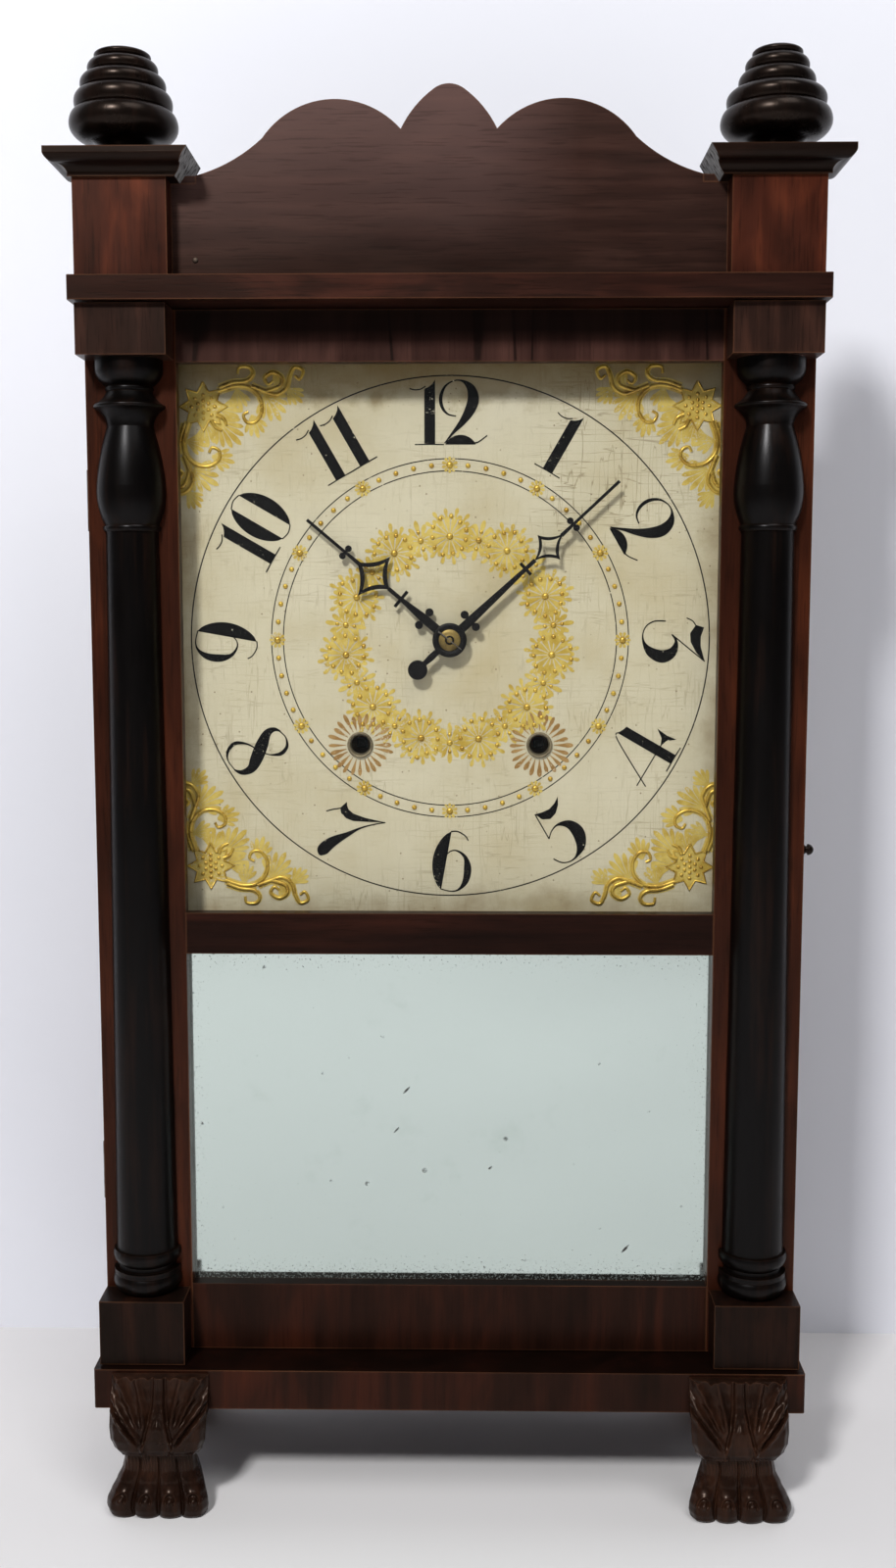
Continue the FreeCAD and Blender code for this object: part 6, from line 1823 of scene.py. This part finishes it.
@dataclass
class CaseDress:
    """The finishes of the case, the door and the movement."""

    shop: FinishShop
    ear: Table = ((0.1443, 0.78495), (0.1529, 0.78495), (0.1503, 0.7891), (0.1443, 0.78925))
    ear_inset: float = 0.0004
    nail_place: Flat = (-0.145, 0.7425)
    nail: Table = ((0.0016, -0.0005), (0.0016, 0.0003), (0.0011, 0.0007), (0.0003, 0.0008))

    def build(self) -> None:
        """Lay each finish on its solids, fit the ears and drive the nail."""
        for finish, nodes in PLAN.items():
            for node in nodes:
                self.shop.dress(node, finish)
        self.ears()
        self.drive_nail()

    def ears(self) -> None:
        """Fit the splat's ears under the cut ends of the caps."""
        low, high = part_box("splat")
        bench = Bench(self.shop)
        for side in (-1.0, 1.0):
            rows = [[Vector((side * x, y, z)) for x, z in self.ear]
                    for y in (low.y + self.ear_inset, high.y - self.ear_inset)]
            bench.grid(rows, True)
            bench.face(rows[0])
            bench.face(rows[1])
        piece = bench.make("splat_ears", "splat_mahogany", "case", False)

    def drive_nail(self) -> None:
        """Drive the nail of the splat."""
        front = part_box("splat")[0].y
        bench = Bench(self.shop)
        bench.turned(Vector((self.nail_place[0], front, self.nail_place[1])), self.nail, 14)
        piece = bench.make("splat_nail", "drawn_wire", "case")


# Studio

@dataclass(frozen=True)
class Lamp:
    """One soft square lamp."""

    name: str
    place: tuple[float, float, float]
    power: float
    side: float

    def hang(self, target: Vector) -> None:
        """Hang the lamp and turn it to a target.

        Args:
            target: Where it points.
        """
        data = bpy.data.lights.new(self.name, "AREA")
        data.energy = self.power
        data.size = self.side
        lamp = stand(self.name, data)
        lamp.location = self.place
        lamp.rotation_euler = (target - Vector(self.place)).to_track_quat("-Z", "Y").to_euler()


@dataclass
class Studio:
    """Camera, lamps, pale floor and wall."""

    camera_place: tuple[float, float, float] = (0.0145, -0.973, 0.545)
    pitch: float = -6.33
    yaw: float = 0.92
    lens: float = 36.5
    sensor: float = 36.0
    nearest: float = 0.01
    heart: tuple[float, float, float] = (0.0, 0.0, 0.42)
    lamps: tuple[Lamp, ...] = (
        Lamp("key_lamp", (-0.68, -1.82, 2.06), 48.5, 0.32),
        Lamp("high_lamp", (0.7, -1.3, 2.7), 22.0, 1.2),
        Lamp("back_lamp", (1.1, 1.6, 2.3), 20.0, 1.2),
    )
    air: tuple[float, float, float, float] = (0.9, 0.93, 1.0, 1.0)
    air_strength: float = 0.115
    wall: float = 0.18
    floor_half: float = 4.0
    wall_half: float = 3.0
    floor_colour: Colour = (232, 230, 230)
    wall_colour: Colour = (238, 239, 246)

    def camera(self) -> None:
        """Set the camera where the photograph was taken."""
        data = bpy.data.cameras.new("camera")
        data.lens = self.lens
        data.sensor_width = self.sensor
        data.clip_start = self.nearest
        camera = stand("camera", data)
        camera.location = self.camera_place
        camera.rotation_euler = (math.radians(90.0 + self.pitch), 0.0, math.radians(self.yaw))
        bpy.context.scene.camera = camera

    def sheet(self, name: str, corners: Sequence[tuple], colour: Colour, one_sided: bool) -> None:
        """Hang or lay one plain sheet of the studio.

        Args:
            name: Name of the sheet.
            corners: Its corners.
            colour: Its colour.
            one_sided: Whether it is open to view from behind.
        """
        bench = NodeBench(name + "_paper")
        tone = bench.noise(bench.place, 2.0, 2.0)
        darker = tuple(int(part * 0.985) for part in colour)
        paper = bench.finish(Base_Color=bench.ramp(tone, ((0.4, darker), (0.6, colour))), Roughness=0.9,
                             Specular_IOR_Level=0.1)
        if one_sided:
            mix = bench.add("ShaderNodeMixShader")
            clear = bench.add("ShaderNodeBsdfTransparent")
            behind = bench.add("ShaderNodeNewGeometry").outputs["Backfacing"]
            front = bench.surface.outputs["BSDF"]
            for socket, value in zip(mix.inputs, (behind, front, clear.outputs["BSDF"])):
                bench.feed(socket, value)
            bench.feed(bench.output.inputs["Surface"], mix.outputs[0])
        mesh = bpy.data.meshes.new(name)
        mesh.from_pydata(corners, [], [(0, 1, 2, 3)])
        mesh.materials.append(paper)
        sheet = stand(name, mesh)
        sheet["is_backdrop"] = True

    def build(self) -> None:
        """Set up the camera, the light and the sheets."""
        scene = bpy.context.scene
        scene.view_settings.view_transform = "Standard"
        self.camera()
        world = bpy.data.worlds.new("studio_air")
        world.use_nodes = True
        air = world.node_tree.nodes["Background"]
        air.inputs["Color"].default_value = self.air
        air.inputs["Strength"].default_value = self.air_strength
        scene.world = world
        for lamp in self.lamps:
            lamp.hang(Vector(self.heart))
        far, wide = self.floor_half, self.wall_half
        floor = [(-far, -far, 0.0), (far, -far, 0.0), (far, far, 0.0), (-far, far, 0.0)]
        self.sheet("floor", floor, self.floor_colour, False)
        wall = [(x, self.wall, z) for x, z in ((-wide, 0.0), (wide, 0.0), (wide, wide), (-wide, wide))]
        self.sheet("wall", wall, self.wall_colour, True)


def corners(box: Sequence[Vector]) -> list[list[float]]:
    """Give the two corners of a box as plain lists."""
    return [[float(part) for part in corner] for corner in box]


def main() -> None:
    """Dress the clock piece by piece and work out its size."""
    logging.basicConfig(level=logging.INFO, format="%(message)s")
    cad = corners(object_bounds())
    Studio().build()
    shop = FinishShop()
    CaseDress(shop).build()
    Dial(shop).build()
    HandBoss(shop).build()
    WindingSquares(shop).build()
    for node, reaches in FINIAL_RINGS.items():
        BeehiveFinial(shop).build(node, reaches)
    for node in ("left_front_foot", "right_front_foot"):
        CarvedFoot(shop).build(node)
    WeightCords(shop).build()
    {"cad": cad, "visual": corners(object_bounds())}


if __name__ == "__main__":
    main()
